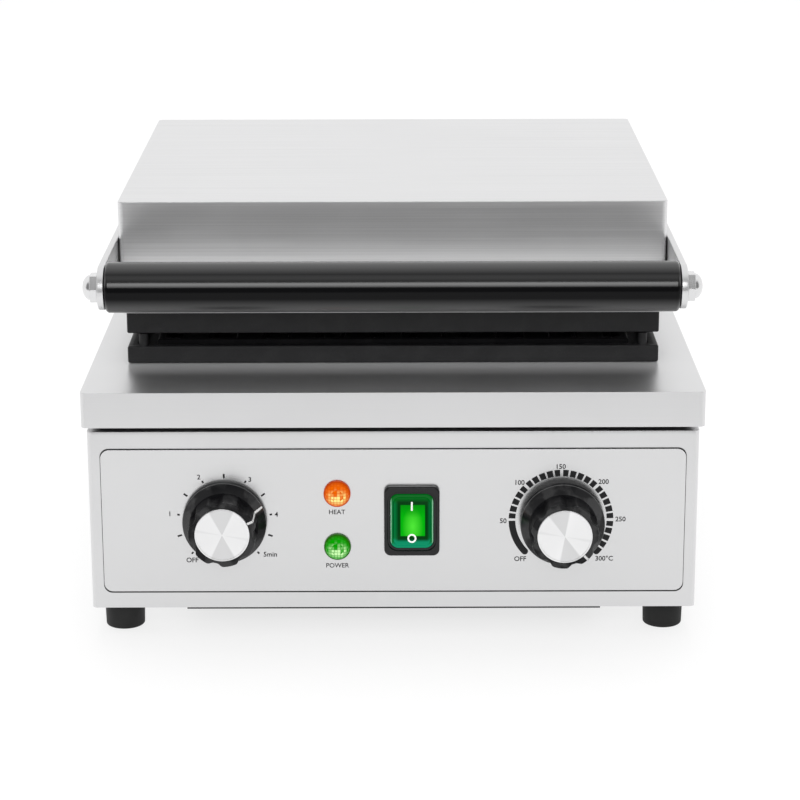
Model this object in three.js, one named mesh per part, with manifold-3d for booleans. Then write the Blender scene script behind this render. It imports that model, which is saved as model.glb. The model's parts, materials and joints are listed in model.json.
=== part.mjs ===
// A countertop belgian waffle maker: a steel base with a control panel, two cast plates
// and a hinged lid with a round bar handle. Lengths are in millimetres. X runs to the right
// seen from the front, Y runs to the back, Z runs up. While it is laid out, Y is zero at the
// face of the front sheet and Z is zero on the table; the last lines centre it in Y.

import * as THREE from 'three';
import { mergeVertices } from 'three/addons/utils/BufferGeometryUtils.js';
import Module from 'manifold-3d';

const wasm = await Module();
wasm.setup();

// Driving sizes of the whole machine
const footHeight = 15;
const frontHeight = 85.2;
const seamHeight = 3.1;
const lipHeight = 16.5;
const sheet = 1.2;
const seatGap = 0.3;
const overrun = 2;

// Top deck and the frame that carries it
const deckOverhang = 2;
const deckNose = 4.2;
const deckHem = 4;
const deckOpeningGap = 1;
const frameInset = 5;
const frameWall = 1.5;
const frameLedge = 12;
const flangeWidth = 14;

// Cast plates, and the steel deck that shows round them
const plateSetback = 47;
const deckSide = 15;
const deckBack = 37;
const plateReveal = 8.4;
const plateGap = 6.3;
const plateFloor = 5;
const panInset = 5;
const upperFlange = 12;
const mouldCount = 2;
const pocketsAcross = 4;
const pocketsAlong = 7;
const pocketPitch = 26;
const mouldDepth = 12;
const mouldDivider = 8;
const mouldWall = 4;
const channelWidth = 8;
const channelDepth = 4;
const plateRim = 5;
const studHeight = 9.5;
const studBase = 17;
const studTop = 12.5;
const lugRadius = 2.2;
const lugInset = 7.5;

// Lid cover, its inner frame and the opening angle's hinge
const coverOverhang = 2.4;
const hemRise = 10.4;
const coverHeight = 53.1;
const lidFrameUpstand = 9;
const hingeSetback = 19;
const hingeRise = 12;
const hingeSpacing = 190;
const hingeTubeRadius = 5;
const hingeTubeBore = 3.2;
const hingeBoss = 9;
const hingeSideGap = 0.4;
const armThickness = 3;
const armFootWidth = 24;
const armFootHeight = 40;
const armFootRise = 2;
const bracketThickness = 2.5;
const bracketFoot = 20;
const bracketLength = 24;
const clipThickness = 1.8;
const clipRadius = 7.5;
const tubeEnd = 3;

// Handle bar and its arms
const gripRadius = 11.3;
const gripReach = 55;
const gripRise = 25.7;
const gripRodRadius = 4;
const handleArmHeight = 20;
const handleArmTail = 60;
const domeRadius = 7;
const domeLength = 7;

// Heating
const elementRadius = 3.5;
const elementMargin = 26;
const elementLead = 12;
const lowerTail = 14;
const terminalRoom = 2;
const elementSteps = 60;
const shieldSheet = 0.8;
const shieldInset = 12;
const lowerMat = 12;
const upperMat = 26;
const matInset = 6;
const bulbRadius = 3;
const bulbLength = 70;
const bulbInset = 6;
const capillaryRadius = 0.9;
const capillarySteps = 24;

// Control panel and what it carries
const overlayInset = 6;
const overlayBase = 8.4;
const overlayMargin = 8.3;
const overlaySheet = 0.8;
const overlayCorner = 4;
const middleRise = 0.45;
const knobSpacing = 155.2;
const lampOffset = -25.8;
const lampSpacing = 25.7;
const lampRadius = 6.2;
const lampBarrel = 4.9;
const lampWall = 0.6;
const lampLensHeight = 2.4;
const lampDomeHeight = 2.4;
const lampBodyDepth = 24;
const lampSpigot = 6;
const switchOffset = 8.5;
const bezelWidth = 25.5;
const bezelHeight = 33.4;
const bezelThickness = 2.6;
const bezelCorner = 3;
const bezelLip = 1.8;
const switchBodyDepth = 24;
const switchPocketDepth = 9;
const sealWidth = 19.6;
const sealHeight = 25.7;
const sealThickness = 4;
const sealCorner = 3.7;
const sealRecess = 0.3;
const rockerWidth = 16.6;
const rockerHeight = 22;
const rockerCorner = 2.6;
const rockerEnd = 2.4;
const rockerDip = 1;
const rockerBack = 2;
const rockerTilt = 12;
const rockerSink = 1.4;
const rockerPlay = 0.35;
const pinRadius = 1.2;
const pinReach = 0.9;

// Knobs and the two controls behind them
const skirtRadius = 19.35;
const skirtRim = 3.4;
const skirtHeight = 7.2;
const skirtBevel = 0.6;
const knobHeight = 20;
const lobeRadius = 15.8;
const lobeCount = 7;
const lobePoints = 8;
const fluteDepth = 1.6;
const fluteShare = 0.56;
const capRadius = 12.5;
const capThickness = 1.6;
const capProud = 0.4;
const knobCavity = 9.5;
const knobCavityDepth = 8;
const knobGap = 0.4;
const thermostatStandoff = 3.3;
const shaftRadius = 3;
const shaftHold = 7;
const shaftRoot = 12;
const bushRadius = 5;
const bushReach = 5.5;
const nutAcross = 14;
const nutThickness = 2.5;
const timerPointer = 24.8;
const thermostatPointer = -46;
const timerWidth = 44;
const timerDepth = 34;
const thermostatWidth = 36;
const thermostatDepth = 28;

// Underside, back and supply inlet
const bottomHalfWidth = 97;
const bottomDrop = 4.85;
const bottomInset = 12;
const bottomLap = 7;
const ventWidth = 3.4;
const ventPitch = 10;
const ventCount = 9;
const ventLengthShare = 0.32;
const ventRiseShare = 0.62;
const backFlange = 12;
const footRadius = 10;
const footToe = 8.6;
const footInset = 13;
const footSetback = 20;
const footStem = 2.6;
const footHead = 4.2;
const footHeadHeight = 2.6;
const glandOffset = 104;
const glandRise = 32;
const glandRadius = 9.5;
const glandThread = 6;
const glandBore = 3.6;
const glandBody = 7;
const glandNose = 5.5;
const glandNoseRadius = 6.6;
const glandTail = 8;
const glandNutRadius = 9;
const glandNutThickness = 4;
const terminalLength = 34;
const terminalDepth = 18;
const terminalHeight = 17;
const terminalSetback = 46;
const terminalInset = 9;

// Roundness of turned and bent pieces
const fineSides = 28;
const plainSides = 16;
const tubeSides = 6;
const cornerSteps = 3;

// Places that follow from the sizes above
const baseZ = footHeight;
const frontTopZ = baseZ + frontHeight;
const deckTopZ = frontTopZ + seamHeight + lipHeight;
const lowerRimZ = deckTopZ + plateReveal;
const upperRimZ = lowerRimZ + plateGap;
const hemZ = upperRimZ + hemRise;
const coverTopZ = hemZ + coverHeight;
const overlayHeight = frontHeight - overlayBase - overlayMargin;
const controlZ = baseZ + overlayBase + overlayHeight / 2;
const middleZ = controlZ + middleRise;
const overlayFront = -(seatGap + overlaySheet);
const mouldLength = pocketsAlong * pocketPitch;
const mouldWidth = pocketsAcross * pocketPitch;
const islandHalf = (mouldCount * mouldWidth + (mouldCount - 1) * mouldDivider) / 2 + mouldWall;
const islandHalfDepth = mouldLength / 2 + mouldWall;
const plateHalf = islandHalf + channelWidth + plateRim;
const plateDepth = 2 * (islandHalfDepth + channelWidth + plateRim);
const bodyWidth = 2 * (plateHalf + deckSide);
const bodyHalf = bodyWidth / 2;
const bodyDepth = plateSetback + plateDepth + deckBack;
const plateFrontY = plateSetback;
const plateBackY = plateSetback + plateDepth;
const plateMidY = (plateFrontY + plateBackY) / 2;
const panDepth = mouldDepth + plateFloor;
const panHalf = plateHalf - panInset;
const panHalfDepth = plateDepth / 2 - panInset;
const coverHalf = plateHalf + coverOverhang;
const coverFrontY = plateFrontY - coverOverhang;
const coverBackY = plateBackY + coverOverhang;
const hingeY = coverBackY + hingeSetback;
const hingeZ = deckTopZ + hingeRise;
const gripY = coverFrontY - gripReach;
const gripZ = hemZ + gripRise;

const steel = { color: 0xc9cacb, roughness: 0.32, metalness: 1 };
const brushed = { color: 0xb9babc, roughness: 0.38, metalness: 1 };
const castBlack = { color: 0x2b2b2d, roughness: 0.55, metalness: 0.2 };
const blackPlastic = { color: 0x1b1b1d, roughness: 0.3, metalness: 0 };
const rubber = { color: 0x242424, roughness: 0.8, metalness: 0 };
const darkSteel = { color: 0x55565a, roughness: 0.5, metalness: 0.8 };
const aluminium = { color: 0xd9dadb, roughness: 0.3, metalness: 1 };
const elementSteel = { color: 0x4a4440, roughness: 0.5, metalness: 0.7 };
const fibre = { color: 0xe6e2d8, roughness: 0.95, metalness: 0 };
const copper = { color: 0xb5714a, roughness: 0.35, metalness: 1 };
const beige = { color: 0xd8d2c2, roughness: 0.6, metalness: 0 };
const orangeLens = { color: 0xf07010, roughness: 0.2, metalness: 0 };
const greenLens = { color: 0x10a020, roughness: 0.2, metalness: 0 };
const sealGreen = { color: 0x0f7a3c, roughness: 0.25, metalness: 0 };
const rockerGreen = { color: 0x2fd02c, roughness: 0.25, metalness: 0 };

// Axes that carry a drawn outline into the machine: across the width, or facing forwards
const acrossWidth = new THREE.Matrix4().makeBasis(
  new THREE.Vector3(0, 1, 0), new THREE.Vector3(0, 0, 1), new THREE.Vector3(1, 0, 0));
const facingFront = new THREE.Matrix4().makeBasis(
  new THREE.Vector3(1, 0, 0), new THREE.Vector3(0, 0, 1), new THREE.Vector3(0, -1, 0));

// Welds a geometry's vertices, drops empty triangles and turns its faces outwards
function weld(geometry) {
  const bare = geometry.clone();
  bare.deleteAttribute('normal');
  bare.deleteAttribute('uv');
  const welded = mergeVertices(bare);
  const places = welded.attributes.position;
  const corner = [0, 1, 2].map(() => new THREE.Vector3());
  const index = Array.from(welded.index.array);
  const kept = [];
  let volume = 0;
  for (let i = 0; i < index.length; i += 3) {
    const [a, b, c] = index.slice(i, i + 3);
    if (a === b || b === c || a === c) continue;
    [a, b, c].forEach((at, k) => corner[k].fromBufferAttribute(places, at));
    volume += corner[0].dot(corner[1].clone().cross(corner[2]));
    kept.push(a, b, c);
  }
  if (volume < 0) kept.reverse();
  welded.setIndex(kept);
  return welded;
}

function toSolid(geometry) {
  const welded = weld(geometry);
  return new wasm.Manifold(new wasm.Mesh({
    numProp: 3,
    vertProperties: new Float32Array(welded.attributes.position.array),
    triVerts: new Uint32Array(welded.index.array),
  }));
}

function toGeometry(solid) {
  const found = solid.getMesh();
  const geometry = new THREE.BufferGeometry();
  geometry.setAttribute('position', new THREE.BufferAttribute(new Float32Array(found.vertProperties), 3));
  geometry.setIndex(Array.from(found.triVerts));
  return geometry;
}

function join(first, ...others) {
  return toGeometry(others.reduce((whole, piece) => whole.add(toSolid(piece)), toSolid(first)));
}

function cut(first, ...tools) {
  return toGeometry(tools.reduce((whole, tool) => whole.subtract(toSolid(tool)), toSolid(first)));
}

function common(first, second) {
  return toGeometry(toSolid(first).intersect(toSolid(second)));
}

// A box between two corners
function block(x0, x1, y0, y1, z0, z1) {
  const box = new THREE.BoxGeometry(x1 - x0, y1 - y0, z1 - z0);
  return box.translate((x0 + x1) / 2, (y0 + y1) / 2, (z0 + z1) / 2);
}

// Round bars along each axis
function rodX(radius, x0, x1, y, z, sides = plainSides) {
  const rod = new THREE.CylinderGeometry(radius, radius, x1 - x0, sides);
  return rod.rotateZ(Math.PI / 2).translate((x0 + x1) / 2, y, z);
}

function rodY(radius, y0, y1, x, z, sides = plainSides) {
  return new THREE.CylinderGeometry(radius, radius, y1 - y0, sides).translate(x, (y0 + y1) / 2, z);
}

function rodZ(radius, z0, z1, x, y, sides = plainSides) {
  const rod = new THREE.CylinderGeometry(radius, radius, z1 - z0, sides);
  return rod.rotateX(Math.PI / 2).translate(x, y, (z0 + z1) / 2);
}

// A piece turned round the Y axis from its radius and Y at each step
function turned(steps, sides = fineSides) {
  return new THREE.LatheGeometry(steps.map(([radius, along]) => new THREE.Vector2(radius, along)), sides);
}

function roundedOutline(width, height, corner) {
  const shape = new THREE.Shape();
  const x = width / 2 - corner;
  const y = height / 2 - corner;
  shape.absarc(x, y, corner, 0, Math.PI / 2);
  shape.absarc(-x, y, corner, Math.PI / 2, Math.PI);
  shape.absarc(-x, -y, corner, Math.PI, 1.5 * Math.PI);
  shape.absarc(x, -y, corner, 1.5 * Math.PI, 2 * Math.PI);
  return shape;
}

function extrude(shape, depth, curveSegments = cornerSteps) {
  return new THREE.ExtrudeGeometry(shape, { depth, bevelEnabled: false, curveSegments });
}

// A flat piece seen from the front, from its back face forwards by its thickness
function frontPlate(shape, backY, thickness, x, z) {
  return extrude(shape, thickness).applyMatrix4(facingFront).translate(x, backY, z);
}

// A bar of one side view, across part of the width
function sideBar(shape, x0, x1) {
  return extrude(shape, x1 - x0).applyMatrix4(acrossWidth).translate(x0, 0, 0);
}

// A round tube along a route
function tube(points, radius, steps) {
  const section = new THREE.Shape().absarc(0, 0, radius, 0, 2 * Math.PI);
  const extrudePath = new THREE.CatmullRomCurve3(points, false, 'catmullrom', 0.5);
  return new THREE.ExtrudeGeometry(section, { extrudePath, steps, curveSegments: tubeSides / 2 });
}

const machine = new THREE.Group();

function add(name, geometry, finish, parent = machine) {
  const mesh = new THREE.Mesh(weld(geometry), new THREE.MeshStandardMaterial(finish));
  mesh.name = name;
  parent.add(mesh);
  return mesh;
}

// Housing: one folded sheet with a front, two sides and flanges turned in at every opening
function housingShell() {
  const inner = bodyHalf - sheet;
  const footY = [footSetback, bodyDepth - footSetback];
  const footX = bodyHalf - footInset;
  const holes = footY.flatMap((y) => [-footX, footX].map(
    (x) => rodZ(footStem + seatGap, baseZ - overrun, baseZ + sheet + overrun, x, y)));
  const bottomHalf = bottomHalfWidth - bottomLap;
  const bottomEdge = bottomInset + bottomLap;
  const shell = cut(
    block(-bodyHalf, bodyHalf, 0, bodyDepth, baseZ, frontTopZ),
    block(-inner, inner, sheet, bodyDepth - sheet, baseZ + sheet, frontTopZ - sheet),
    block(-bodyHalf + flangeWidth, bodyHalf - flangeWidth, flangeWidth, bodyDepth - flangeWidth,
      frontTopZ - sheet - overrun, frontTopZ + overrun),
    block(-bottomHalf, bottomHalf, bottomEdge, bodyDepth - bottomEdge,
      baseZ - overrun, baseZ + sheet + overrun),
    block(-bodyHalf + backFlange, bodyHalf - backFlange, bodyDepth - sheet - overrun,
      bodyDepth + overrun, baseZ + backFlange, frontTopZ - backFlange),
    ...holes,
    ...panelCutters(),
  );
  return shell;
}

// Everything that passes through the front sheet and the panel overlay
function panelCutters() {
  const y0 = overlayFront - overrun;
  const y1 = sheet + overrun;
  const knobs = [-knobSpacing / 2, knobSpacing / 2].map(
    (x) => rodY(bushRadius + seatGap, y0, y1, x, controlZ));
  const lamps = [-lampSpacing / 2, lampSpacing / 2].map(
    (rise) => rodY(lampBarrel + seatGap, y0, y1, lampOffset, middleZ + rise));
  const halfWide = bezelWidth / 2 - bezelLip + seatGap;
  const halfTall = bezelHeight / 2 - bezelLip + seatGap;
  const opening = block(switchOffset - halfWide, switchOffset + halfWide, y0, y1,
    middleZ - halfTall, middleZ + halfTall);
  return [...knobs, ...lamps, opening];
}

function controlPanel() {
  const outline = roundedOutline(bodyWidth - 2 * overlayInset, overlayHeight, overlayCorner);
  return cut(frontPlate(outline, -seatGap, overlaySheet, 0, controlZ), ...panelCutters());
}

// Rows of slots that let warm air out, seen from above or from behind
function ventRow(span, place) {
  const length = span * ventLengthShare;
  const slots = [];
  for (const side of [-1, 1]) {
    for (let i = 0; i < ventCount; i += 1) {
      const along = (i - (ventCount - 1) / 2) * ventPitch;
      slots.push(place(side * span / 4, along, length / 2, ventWidth / 2));
    }
  }
  return slots;
}

function bottomCover() {
  const top = baseZ - seatGap;
  const low = baseZ - bottomDrop - seatGap;
  const half = bottomHalfWidth;
  const y0 = bottomInset;
  const y1 = bodyDepth - bottomInset;
  const slots = ventRow(2 * half, (x, along, halfLong, halfWide) => block(
    x - halfLong, x + halfLong, bodyDepth / 2 + along - halfWide, bodyDepth / 2 + along + halfWide,
    low - overrun, low + sheet + overrun));
  return cut(block(-half, half, y0, y1, low, top),
    block(-half + sheet, half - sheet, y0 + sheet, y1 - sheet, low + sheet, top + overrun), ...slots);
}

function rearPanel() {
  const y0 = bodyDepth + seatGap;
  const y1 = y0 + sheet;
  const rowZ = baseZ + frontHeight * ventRiseShare;
  const rowCount = Math.floor(ventCount / 2);
  const slots = [];
  for (const side of [-1, 1]) {
    for (let i = 0; i < rowCount; i += 1) {
      const z = rowZ + (i - (rowCount - 1) / 2) * ventPitch;
      const x = side * bodyWidth / 5;
      const halfLong = bodyWidth * ventLengthShare / 4;
      slots.push(block(x - halfLong, x + halfLong, y0 - overrun, y1 + overrun,
        z - ventWidth / 2, z + ventWidth / 2));
    }
  }
  const inlet = rodY(glandThread + seatGap, y0 - overrun, y1 + overrun, glandOffset, baseZ + glandRise);
  return cut(block(-bodyHalf, bodyHalf, y0, y1, baseZ, frontTopZ), inlet, ...slots);
}

// Frame that stands on the housing's top flange and carries the deck, seen as the dark seam
function deckFrame() {
  const half = bodyHalf - frameInset;
  const z0 = frontTopZ + seatGap;
  const z1 = deckTopZ - sheet - seatGap;
  const y0 = frameInset;
  const y1 = bodyDepth - frameInset;
  const ledge = frameWall + frameLedge;
  const ledgeY = Math.min(ledge, plateFrontY + panInset - deckOpeningGap - y0);
  return cut(block(-half, half, y0, y1, z0, z1),
    block(-half + frameWall, half - frameWall, y0 + frameWall, y1 - frameWall, z0 - overrun, z1 - frameWall),
    block(-half + ledge, half - ledge, y0 + ledgeY, y1 - ledgeY, z0, z1 + overrun));
}

function topDeck() {
  const half = bodyHalf + deckOverhang;
  const y0 = -deckNose;
  const y1 = bodyDepth + deckOverhang;
  const z0 = deckTopZ - lipHeight;
  const hem = sheet + deckHem;
  const openHalf = panHalf + deckOpeningGap;
  const openDepth = panHalfDepth + deckOpeningGap;
  return cut(block(-half, half, y0, y1, z0, deckTopZ),
    block(-half + sheet, half - sheet, y0 + sheet, y1 - sheet, z0 + sheet, deckTopZ - sheet),
    block(-half + hem, half - hem, y0 + hem, y1 - hem, z0 - overrun, z0 + sheet + overrun),
    block(-openHalf, openHalf, plateMidY - openDepth, plateMidY + openDepth,
      deckTopZ - sheet - overrun, deckTopZ + overrun));
}

// Cast waffle plate with its rim face at Z zero and its body below, centred in X and Y
function castPlate(flange, lugs) {
  const halfDepth = plateDepth / 2;
  const body = join(
    block(-plateHalf, plateHalf, -halfDepth, halfDepth, -flange, 0),
    block(-panHalf, panHalf, -panHalfDepth, panHalfDepth, -panDepth, -flange / 2));
  const moulds = [];
  const studs = [];
  for (let m = 0; m < mouldCount; m += 1) {
    const middle = (m - (mouldCount - 1) / 2) * (mouldWidth + mouldDivider);
    moulds.push(block(middle - mouldWidth / 2, middle + mouldWidth / 2,
      -mouldLength / 2, mouldLength / 2, -mouldDepth, overrun));
    for (let i = 0; i < pocketsAcross; i += 1) {
      for (let j = 0; j < pocketsAlong; j += 1) {
        const x = middle + (i - (pocketsAcross - 1) / 2) * pocketPitch;
        const y = (j - (pocketsAlong - 1) / 2) * pocketPitch;
        studs.push(pocketStud().translate(x, y, 0));
      }
    }
  }
  const channel = cut(
    block(-islandHalf - channelWidth, islandHalf + channelWidth,
      -islandHalfDepth - channelWidth, islandHalfDepth + channelWidth, -channelDepth, overrun),
    block(-islandHalf, islandHalf, -islandHalfDepth, islandHalfDepth, -channelDepth - overrun, 2 * overrun));
  const stops = lugs ? stopLugs() : [];
  return join(cut(body, ...moulds, channel), ...studs, ...stops);
}

// Blunt pyramid that presses one pocket into the waffle
function pocketStud() {
  const top = studTop * Math.SQRT1_2;
  const base = studBase * Math.SQRT1_2;
  const sink = plateFloor / 2;
  const flare = (base - top) * sink / studHeight;
  const stud = new THREE.CylinderGeometry(top, base + flare, studHeight + sink, 4);
  stud.rotateX(Math.PI / 2).rotateZ(Math.PI / 4);
  return stud.translate(0, 0, -mouldDepth + (studHeight - sink) / 2);
}

// Lugs at the corners of the rim that keep the plates apart when the lid is down
function stopLugs() {
  const x = plateHalf - lugInset;
  const y = plateDepth / 2 - plateRim / 2;
  return [-x, x].flatMap((at) => [-y, y].map(
    (to) => rodZ(lugRadius, -plateReveal / 2, plateGap - seatGap, at, to, plainSides / 2)));
}

// Tubular element laid in two loops under a plate, its two ends leading out at the back
function heatingElement(z, tail) {
  const x = panHalf - elementMargin;
  const front = plateMidY - panHalfDepth + elementMargin;
  const back = plateMidY + panHalfDepth - elementMargin;
  const inner = x / 3;
  const middle = plateMidY + elementMargin / 2;
  const end = plateMidY + panHalfDepth + tail;
  const half = [[elementLead, end], [elementLead, back + elementLead], [elementLead * 2, back],
    [x - elementLead, back], [x, back - elementLead], [x, front + elementLead], [x - elementLead, front],
    [inner + elementLead, front], [inner, front + elementLead], [inner, middle - elementLead],
    [inner - elementLead, middle]];
  const route = [...half, ...half.map(([a, b]) => [-a, b]).reverse()];
  const points = route.map(([a, b]) => new THREE.Vector3(a, b, z));
  return tube(points, elementRadius, elementSteps);
}

// Shallow tray that holds an element against its plate and throws the heat back
function heatShield(contactZ, away) {
  const half = panHalf - shieldInset;
  const depth = panHalfDepth - shieldInset;
  const inside = 2 * elementRadius + 2 * seatGap;
  const z0 = contactZ + away * seatGap;
  const z1 = z0 + away * (inside + shieldSheet);
  const open = z0 - away * overrun;
  const floor = z1 - away * shieldSheet;
  const slotHalf = elementRadius + seatGap;
  const rear = plateMidY + depth;
  const slots = [-elementLead, elementLead].map((x) => block(x - slotHalf, x + slotHalf,
    rear - shieldSheet - overrun, rear + overrun, Math.min(open, floor), Math.max(open, floor)));
  return cut(block(-half, half, plateMidY - depth, plateMidY + depth, Math.min(z0, z1), Math.max(z0, z1)),
    block(-half + shieldSheet, half - shieldSheet, plateMidY - depth + shieldSheet,
      plateMidY + depth - shieldSheet, Math.min(open, floor), Math.max(open, floor)),
    ...slots);
}

function insulationMat(startZ, thickness) {
  const half = panHalf - shieldInset - matInset;
  const depth = panHalfDepth - shieldInset - matInset;
  return block(-half, half, plateMidY - depth, plateMidY + depth, startZ, startZ + thickness);
}

// Bulb clamped under the plate beside the element, with its capillary back to the thermostat
function thermostatBulb() {
  const x = panHalf - bulbInset;
  const z = lowerRimZ - panDepth - seatGap - bulbRadius;
  const y0 = plateFrontY + plateSetback;
  const start = sheet + seatGap + thermostatDepth + seatGap;
  const from = knobSpacing / 2;
  const fallZ = (controlZ + z) / 2;
  const points = [[from, start, controlZ], [from, start + bulbRadius * 2, controlZ],
    [(from + x) / 2, start + bulbRadius * 4, (controlZ + fallZ) / 2],
    [x, start + bulbRadius * 5, fallZ], [x, y0 - bulbRadius * 4, z - bulbRadius],
    [x, y0 - bulbRadius, z], [x, y0 + bulbRadius, z]].map((at) => new THREE.Vector3(...at));
  return join(tube(points, capillaryRadius, capillarySteps),
    rodY(bulbRadius, y0, y0 + bulbLength, x, z, plainSides / 2));
}

function foot() {
  const top = footHeight - seatGap;
  const stemTop = footHeight + sheet + seatGap;
  return turned([[0, 0], [footToe, 0], [footRadius, top], [footStem, top], [footStem, stemTop],
    [footHead, stemTop], [footStem, stemTop + footHeadHeight], [0, stemTop + footHeadHeight]], plainSides)
    .rotateX(Math.PI / 2);
}

// Controls behind the panel: a case with a threaded bush that comes through to the knob
function controlCase(width, depth) {
  const back = sheet + seatGap;
  const half = width / 2;
  const bushFront = overlayFront - bushReach;
  return cut(
    join(block(-half, half, back, back + depth, -half, half),
      rodY(bushRadius, bushFront, back + overrun, 0, 0)),
    rodY(shaftRadius + seatGap, bushFront - overrun, back + shaftRoot + seatGap, 0, 0));
}

function bushNut() {
  const radius = nutAcross / Math.sqrt(3);
  const back = overlayFront - seatGap;
  return cut(rodY(radius, back - nutThickness, back, 0, 0, 6),
    rodY(bushRadius + seatGap, back - nutThickness - overrun, back + overrun, 0, 0));
}

function controlShaft(standoff) {
  const knobBack = overlayFront - knobGap - standoff;
  const front = knobBack - knobCavityDepth - shaftHold;
  return rodY(shaftRadius, front, sheet + seatGap + shaftRoot, 0, 0);
}

// Knob: a cone-shaped skirt and a grip of seven lobes with flutes between them, one lobe at the pointer
function knobOutline() {
  const shape = new THREE.Shape();
  const total = lobeCount * lobePoints;
  for (let i = 0; i < total; i += 1) {
    const angle = i / total * 2 * Math.PI;
    const within = (i % lobePoints) / lobePoints;
    const fromFlute = Math.abs(within - 0.5) / (fluteShare / 2);
    const dip = fromFlute < 1 ? Math.cos(fromFlute * Math.PI / 2) : 0;
    const radius = lobeRadius - fluteDepth * dip;
    const x = radius * Math.cos(angle);
    const y = radius * Math.sin(angle);
    if (i === 0) shape.moveTo(x, y);
    else shape.lineTo(x, y);
  }
  return shape;
}

function knob(back) {
  const skirt = turned([[0, back], [skirtRadius, back], [skirtRadius, back - skirtRim + skirtBevel],
    [skirtRadius - skirtBevel, back - skirtRim], [lobeRadius, back - skirtHeight], [0, back - skirtHeight]]);
  const gripFront = back - knobHeight + capProud;
  const grip = frontPlate(knobOutline(), back - skirtHeight / 2,
    back - skirtHeight / 2 - gripFront, 0, 0);
  return cut(join(skirt, grip),
    rodY(knobCavity, back - knobCavityDepth, back + overrun, 0, 0, fineSides),
    rodY(shaftRadius + seatGap, back - knobCavityDepth - shaftHold - seatGap, back, 0, 0),
    rodY(capRadius + seatGap, gripFront - overrun, gripFront + capThickness, 0, 0, fineSides));
}

function knobCap(back) {
  const front = back - knobHeight;
  return rodY(capRadius, front, front + capProud + capThickness - seatGap, 0, 0, fineSides);
}

function lampBody() {
  const front = overlayFront;
  return cut(rodY(lampBarrel, front, front + lampBodyDepth, 0, 0),
    rodY(lampBarrel - lampWall, front - overrun, front + lampSpigot + seatGap, 0, 0));
}

function lampLens() {
  const back = overlayFront - seatGap;
  const spigot = lampBarrel - lampWall - seatGap;
  const shoulder = back - lampLensHeight;
  return turned([[0, shoulder - lampDomeHeight], [lampRadius / 2, shoulder - lampDomeHeight * 0.75],
    [lampRadius, shoulder], [lampRadius, back], [spigot, back], [spigot, overlayFront + lampSpigot],
    [0, overlayFront + lampSpigot]], plainSides + 4);
}

// Rocker switch: black bezel and case, green seal, green rocker on two pins
function switchFrame() {
  const back = overlayFront - seatGap;
  const halfWide = bezelWidth / 2 - bezelLip;
  const halfTall = bezelHeight / 2 - bezelLip;
  const bezel = frontPlate(roundedOutline(bezelWidth, bezelHeight, bezelCorner), back, bezelThickness,
    switchOffset, middleZ);
  const casing = block(switchOffset - halfWide, switchOffset + halfWide, back - bezelThickness / 2,
    switchBodyDepth, middleZ - halfTall, middleZ + halfTall);
  const pocket = roundedOutline(sealWidth + 2 * seatGap, sealHeight + 2 * seatGap, sealCorner);
  const depth = switchPocketDepth + bezelThickness + overrun - back;
  return cut(join(bezel, casing), frontPlate(pocket, switchPocketDepth, depth, switchOffset, middleZ));
}

function rockerPivotY() {
  return overlayFront - seatGap - bezelThickness + rockerSink;
}

function switchSeal() {
  const front = overlayFront - seatGap - bezelThickness + sealRecess;
  const reach = Math.hypot(rockerHeight / 2, rockerEnd) + rockerPlay;
  const opening = roundedOutline(rockerWidth + 2 * rockerPlay, 2 * reach, rockerCorner + rockerPlay);
  const plate = frontPlate(roundedOutline(sealWidth, sealHeight, sealCorner), front + sealThickness,
    sealThickness, switchOffset, middleZ);
  const pinHalf = rockerWidth / 2 + pinReach + seatGap;
  return cut(plate,
    frontPlate(opening, front + sealThickness + overrun, sealThickness + 2 * overrun, switchOffset, middleZ),
    rodX(pinRadius + seatGap, switchOffset - pinHalf, switchOffset + pinHalf, rockerPivotY(), middleZ));
}

// Its side view about the pivot is two flat halves that dip to the middle, with corners rounded
// as seen from the front
function switchRocker() {
  const end = rockerHeight / 2;
  const shape = new THREE.Shape();
  shape.moveTo(-rockerEnd, -end);
  shape.lineTo(rockerBack, -end);
  shape.lineTo(rockerBack + rockerDip, 0);
  shape.lineTo(rockerBack, end);
  shape.lineTo(-rockerEnd, end);
  shape.lineTo(-rockerEnd + rockerDip, 0);
  const half = rockerWidth / 2;
  const back = rockerBack + rockerDip + overrun;
  const face = roundedOutline(rockerWidth, rockerHeight, rockerCorner);
  const body = common(sideBar(shape, -half, half),
    frontPlate(face, back, back + rockerEnd + overrun, 0, 0));
  return join(body, rodX(pinRadius, -half - pinReach, half + pinReach, 0, 0, plainSides / 2));
}

function cableGland() {
  const y0 = bodyDepth + seatGap + sheet + seatGap;
  const back = y0 + glandBody;
  const end = back + glandNose;
  const tail = bodyDepth - glandTail;
  return turned([[glandBore, tail], [glandThread, tail], [glandThread, y0], [glandRadius, y0],
    [glandRadius, back], [glandNoseRadius, end], [glandBore, end], [glandBore, tail]], plainSides)
    .translate(glandOffset, 0, baseZ + glandRise);
}

function glandNut() {
  const y1 = bodyDepth;
  const y0 = y1 - glandNutThickness;
  const z = baseZ + glandRise;
  return cut(rodY(glandNutRadius, y0, y1, glandOffset, z, 6),
    rodY(glandThread + seatGap, y0 - overrun, y1 + overrun, glandOffset, z));
}

function terminalBlock() {
  const x1 = bodyHalf - terminalInset;
  const y1 = bodyDepth - terminalSetback;
  const z0 = baseZ + sheet + seatGap;
  return block(x1 - terminalLength, x1, y1 - terminalDepth, y1, z0, z0 + terminalHeight);
}

// Lid: folded cover, the frame inside that the upper plate hangs from
function lidCover() {
  return cut(block(-coverHalf, coverHalf, coverFrontY, coverBackY, hemZ, coverTopZ),
    block(-coverHalf + sheet, coverHalf - sheet, coverFrontY + sheet, coverBackY - sheet,
      hemZ - overrun, coverTopZ - sheet));
}

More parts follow.
